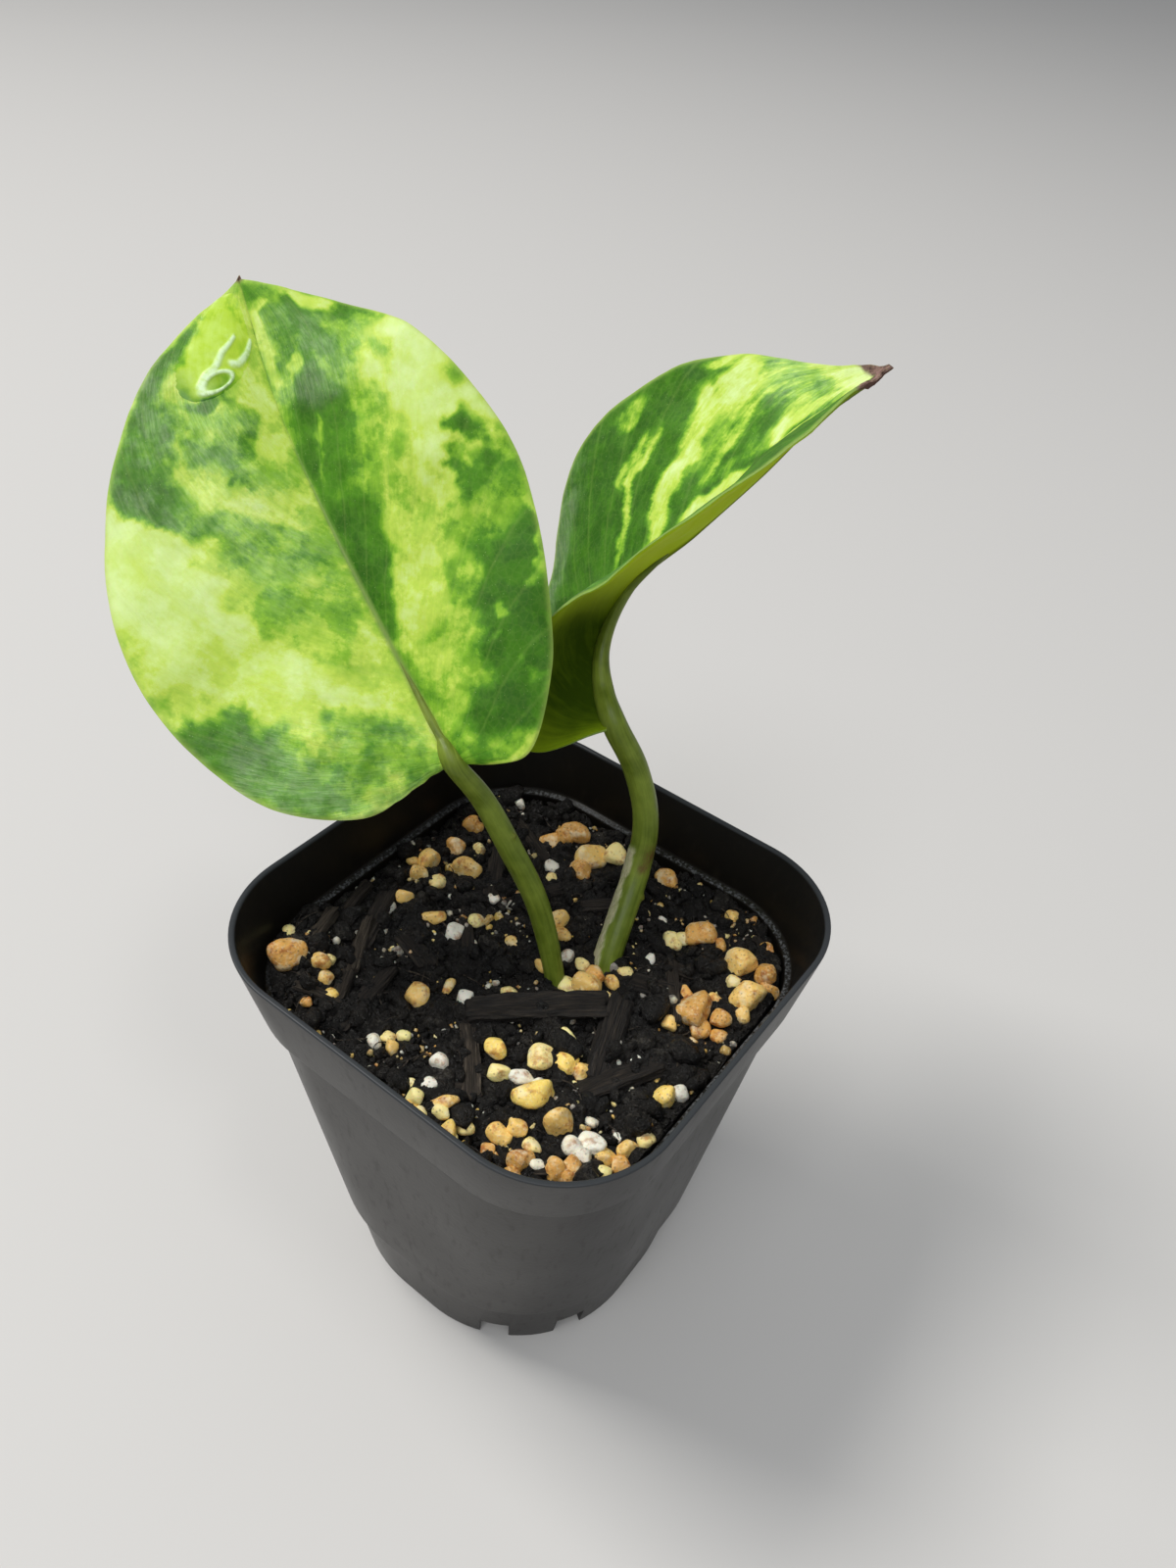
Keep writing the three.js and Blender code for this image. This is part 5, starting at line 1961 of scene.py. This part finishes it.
@dataclass
class WaterFilm:
    """A film of water on the left blade's left half, from near the tip down to a thick bead.

    Its borders are given as shares along the blade and millimetres from the midrib, negative to the left.
    Its painted glints are drawn in a flat frame round the bead's middle, x to the right and y up the blade.
    """

    blade: Blade
    left: tuple[Point, ...] = ((0.785, -10), (0.796, -11.5), (0.822, -11.6), (0.852, -10.6), (0.885, -8.4),
                               (0.93, -6), (0.965, -3.4), (0.98, -1.5))
    right: tuple[Point, ...] = ((0.785, -9.4), (0.796, -6.6), (0.822, -3.6), (0.852, -1.6), (0.885, -0.5),
                                (0.93, -0.4), (0.965, -0.6), (0.98, -1.1))
    bead: tuple[float, float] = (0.82, -6.4)
    bead_half: tuple[float, float] = (2.45, 0.86)
    bead_turn: float = 37
    along_mm: float = 84
    length: float = 14
    shade_width: float = 2.1
    # Painted glint strokes, as points in the bead's frame.
    strokes: tuple[tuple[Point, ...], ...] = (
        ((-2.1, -1), (-1.1, 0.5), (0.3, 1.9), (1.5, 3.9), (2.7, 5.4), (3.6, 6.7)),
        ((2.5, 2.8), (3.4, 3.2), (4.6, 4.8), (5.5, 6.8)))
    stroke_half: float = 0.48
    film: float = 0.09
    crest: float = 0.14
    sink: float = 0.1
    rows: int = 130
    columns: int = 90

    def glint(self, x: Array, y: Array) -> tuple[Array, Array]:
        """Strength of the painted glints, and how far inside the bead a place is, which deepens the painted
        shade.

        The bead's glint is exp(−((d − 1)/w)⁴) of the distance d in bead sizes, widest at its upper left. A
        stroke's is exp(−(distance/half width)⁴), and it narrows to its end.

        Args:
            x: Millimetres to the right of the bead's middle.
            y: Millimetres up the blade from it.

        Returns:
            Two strengths, 0 to 1, for each place.
        """
        along, off = turned(x, y, -math.radians(self.bead_turn))
        across, up = along / self.bead_half[0], off / self.bead_half[1]
        away = np.hypot(across, up)
        total = fade(away - 1, 0.21 + 0.08 * np.cos(np.arctan2(up, across) - 2.6), 4)
        share = np.linspace(0, 1, 50)
        for stroke in self.strokes:
            line = catmull_rom(list(stroke), share)
            distance = np.hypot(x[..., None] - line[:, 0], y[..., None] - line[:, 1])
            scaled = (distance / (self.stroke_half * (1 - 0.6 * share))).min(axis=-1)
            total = np.maximum(total, 0.9 * fade(scaled, 1, 4))
        return total, smooth_fall(away, 0.6, 0.9)

    def build(self, finish: Material) -> None:
        """Makes the film, which thins to its border and rises at its glints.

        Args:
            finish: The wet leaf's finish.
        """
        u = (1 - np.cos(np.linspace(0, math.pi, self.rows))) / 2
        v = -np.cos(np.linspace(0, math.pi, self.columns))
        row, column = np.meshgrid(u, v, indexing="ij")
        left, right = (catmull_rom(list(side), u)[:, None] for side in (self.left, self.right))
        place = left + (right - left) * (column[..., None] + 1) / 2
        s, from_rib = place[..., 0], place[..., 1]
        _, width = self.blade.sheet(s, np.full(s.shape, -0.5))
        t = np.maximum(from_rib / width, -0.975)
        face, _, across = self.blade.faces_at(s, t)
        normal = Blade.normals(face)
        glint, inner = self.glint(from_rib - self.bead[1], (s - self.bead[0]) * self.along_mm)
        round_off = np.sqrt(np.maximum(1 - column**2, 0)) * np.sqrt(np.maximum(1 - (2 * row - 1) ** 6, 0))
        height = (self.film + self.crest * glint) * round_off
        half_width = (right - left)[..., 1] / 2
        border = np.minimum((1 - np.abs(column)) * half_width, row * self.length)
        shade = fade(border, self.shade_width, 4) * smooth_fall(row, 0.12, 0.42)
        top = face + normal * (height - 0.5 * self.sink)[..., None]
        points, faces = two_faced(top, face - normal * self.sink)
        values = self.blade.attributes(s, t, across, face, 0)
        # Painted glints and painted shade, which the wet finish draws.
        values["glint"] = glint.ravel()
        values["shade"] = np.clip(0.9 * shade + 0.45 * inner, 0, 1).ravel()
        place_piece("water_film", points, faces, finish, for_both_faces(values))


# Stage

@dataclass(frozen=True)
class SoftLight:
    """A square soft light that faces a target; place, target and size are in millimetres."""

    name: str
    place: Point
    target: Point
    size: float
    power: float
    colour: Colour = (1, 1, 1)

    def build(self) -> None:
        """Makes the light."""
        light = bpy.data.lights.new(self.name, "AREA")
        light.size = self.size * MM
        light.energy = self.power
        light.color = self.colour
        away = unit(np.subtract(self.place, self.target))
        side = unit(np.cross((0, 0, 1), away))
        add_object(self.name, light).matrix_world = axes_at(self.place, side, np.cross(away, side), away)


@dataclass
class Studio:
    """Floor, soft light and the camera at the photograph's angle."""

    azimuth: float = 32.97
    elevation: float = 40.25
    roll: float = 6.44
    place: Point = (60.67, -85.55, 176.99)
    focal_pixels: float = 1202.88
    image_height: float = 1600
    sensor: float = 36
    near: float = 5
    floor_reach: float = 3000
    floor_colour: Colour = (0.62, 0.61, 0.59)
    floor_roughness: float = 0.7
    room_colour: Colour = (0.92, 0.95, 1)
    room_strength: float = 0.32
    lights: tuple[SoftLight, ...] = (
        SoftLight("key", (-880, -240, 1500), (-10, 5, 60), 600, 19.5, (1, 0.98, 0.95)),
        SoftLight("sheen", (200, -800, 1465), (-40, 0, 105), 600, 6, (0.97, 0.98, 1)),
        SoftLight("glint", (366, -80, 1669), (-50, 0, 125), 260, 2),
        SoftLight("front", (660, -640, 1010), (-30, 0, 95), 200, 1.6))

    def build(self) -> None:
        """Makes the camera, the floor, the lights and the room's even light."""
        self.add_camera()
        self.add_floor()
        for light in self.lights:
            light.build()
        world = bpy.data.worlds.new("soft_room")
        world.use_nodes = True
        background = world.node_tree.nodes["Background"]
        background.inputs["Color"].default_value = (*self.room_colour, 1)
        background.inputs["Strength"].default_value = self.room_strength
        bpy.context.scene.view_settings.view_transform = "Standard"
        bpy.context.scene.world = world

    def add_camera(self) -> None:
        """Makes the camera, turned by the azimuth, down by the elevation and rolled about its view."""
        around, down, tilt = (math.radians(angle) for angle in (self.azimuth, self.elevation, self.roll))
        level = np.array([math.cos(around), math.sin(around), 0])
        ahead = np.array([-math.sin(around), math.cos(around), 0])
        forward = ahead * math.cos(down) - np.array([0, 0, math.sin(down)])
        right = math.cos(tilt) * level + math.sin(tilt) * np.cross(level, forward)
        camera = add_object("camera", bpy.data.cameras.new("camera"))
        camera.matrix_world = axes_at(self.place, right, np.cross(right, forward), -forward)
        camera.data.sensor_width = self.sensor
        camera.data.lens = self.focal_pixels / self.image_height * self.sensor
        camera.data.clip_start = self.near * MM
        bpy.context.scene.camera = camera

    def add_floor(self) -> None:
        """Makes the plain pale floor."""
        reach = self.floor_reach * MM
        mesh = bpy.data.meshes.new("floor")
        corners = [(x * reach, y * reach, 0) for x, y in ((-1, -1), (1, -1), (1, 1), (-1, 1))]
        mesh.from_pydata(corners, [], [(0, 1, 2, 3)])
        constants = {"Base Color": (*self.floor_colour, 1), "Roughness": self.floor_roughness}
        mesh.materials.append(Graph("pale_floor").finish(constants))
        floor = add_object("floor", mesh)


def main() -> None:
    """Builds the stage and then the object, piece by piece."""
    logging.basicConfig(level=logging.INFO, format="%(message)s")
    Studio().build()
    pot = Pot()
    pot.build(PotPlastic().material())
    Soil(pot, MoistSoil().material(), Pebble().material(), Bark().material()).build()
    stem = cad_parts["rooted_stem"]
    stem.data.materials.clear()
    stem.data.materials.append(RootSkin().material())
    stalk_finish = StalkTissue().material()
    for stalk in (LEFT_STALK, RIGHT_STALK):
        stalk.build(stalk_finish)
    leaf_finish, underside = LeafTissue().material(), LeafUnderside().material()
    for blade in (LEFT_BLADE, RIGHT_BLADE):
        blade.build(leaf_finish, underside)
    WaterFilm(LEFT_BLADE).build(LeafTissue().wet_material())


if __name__ == "__main__":
    main()
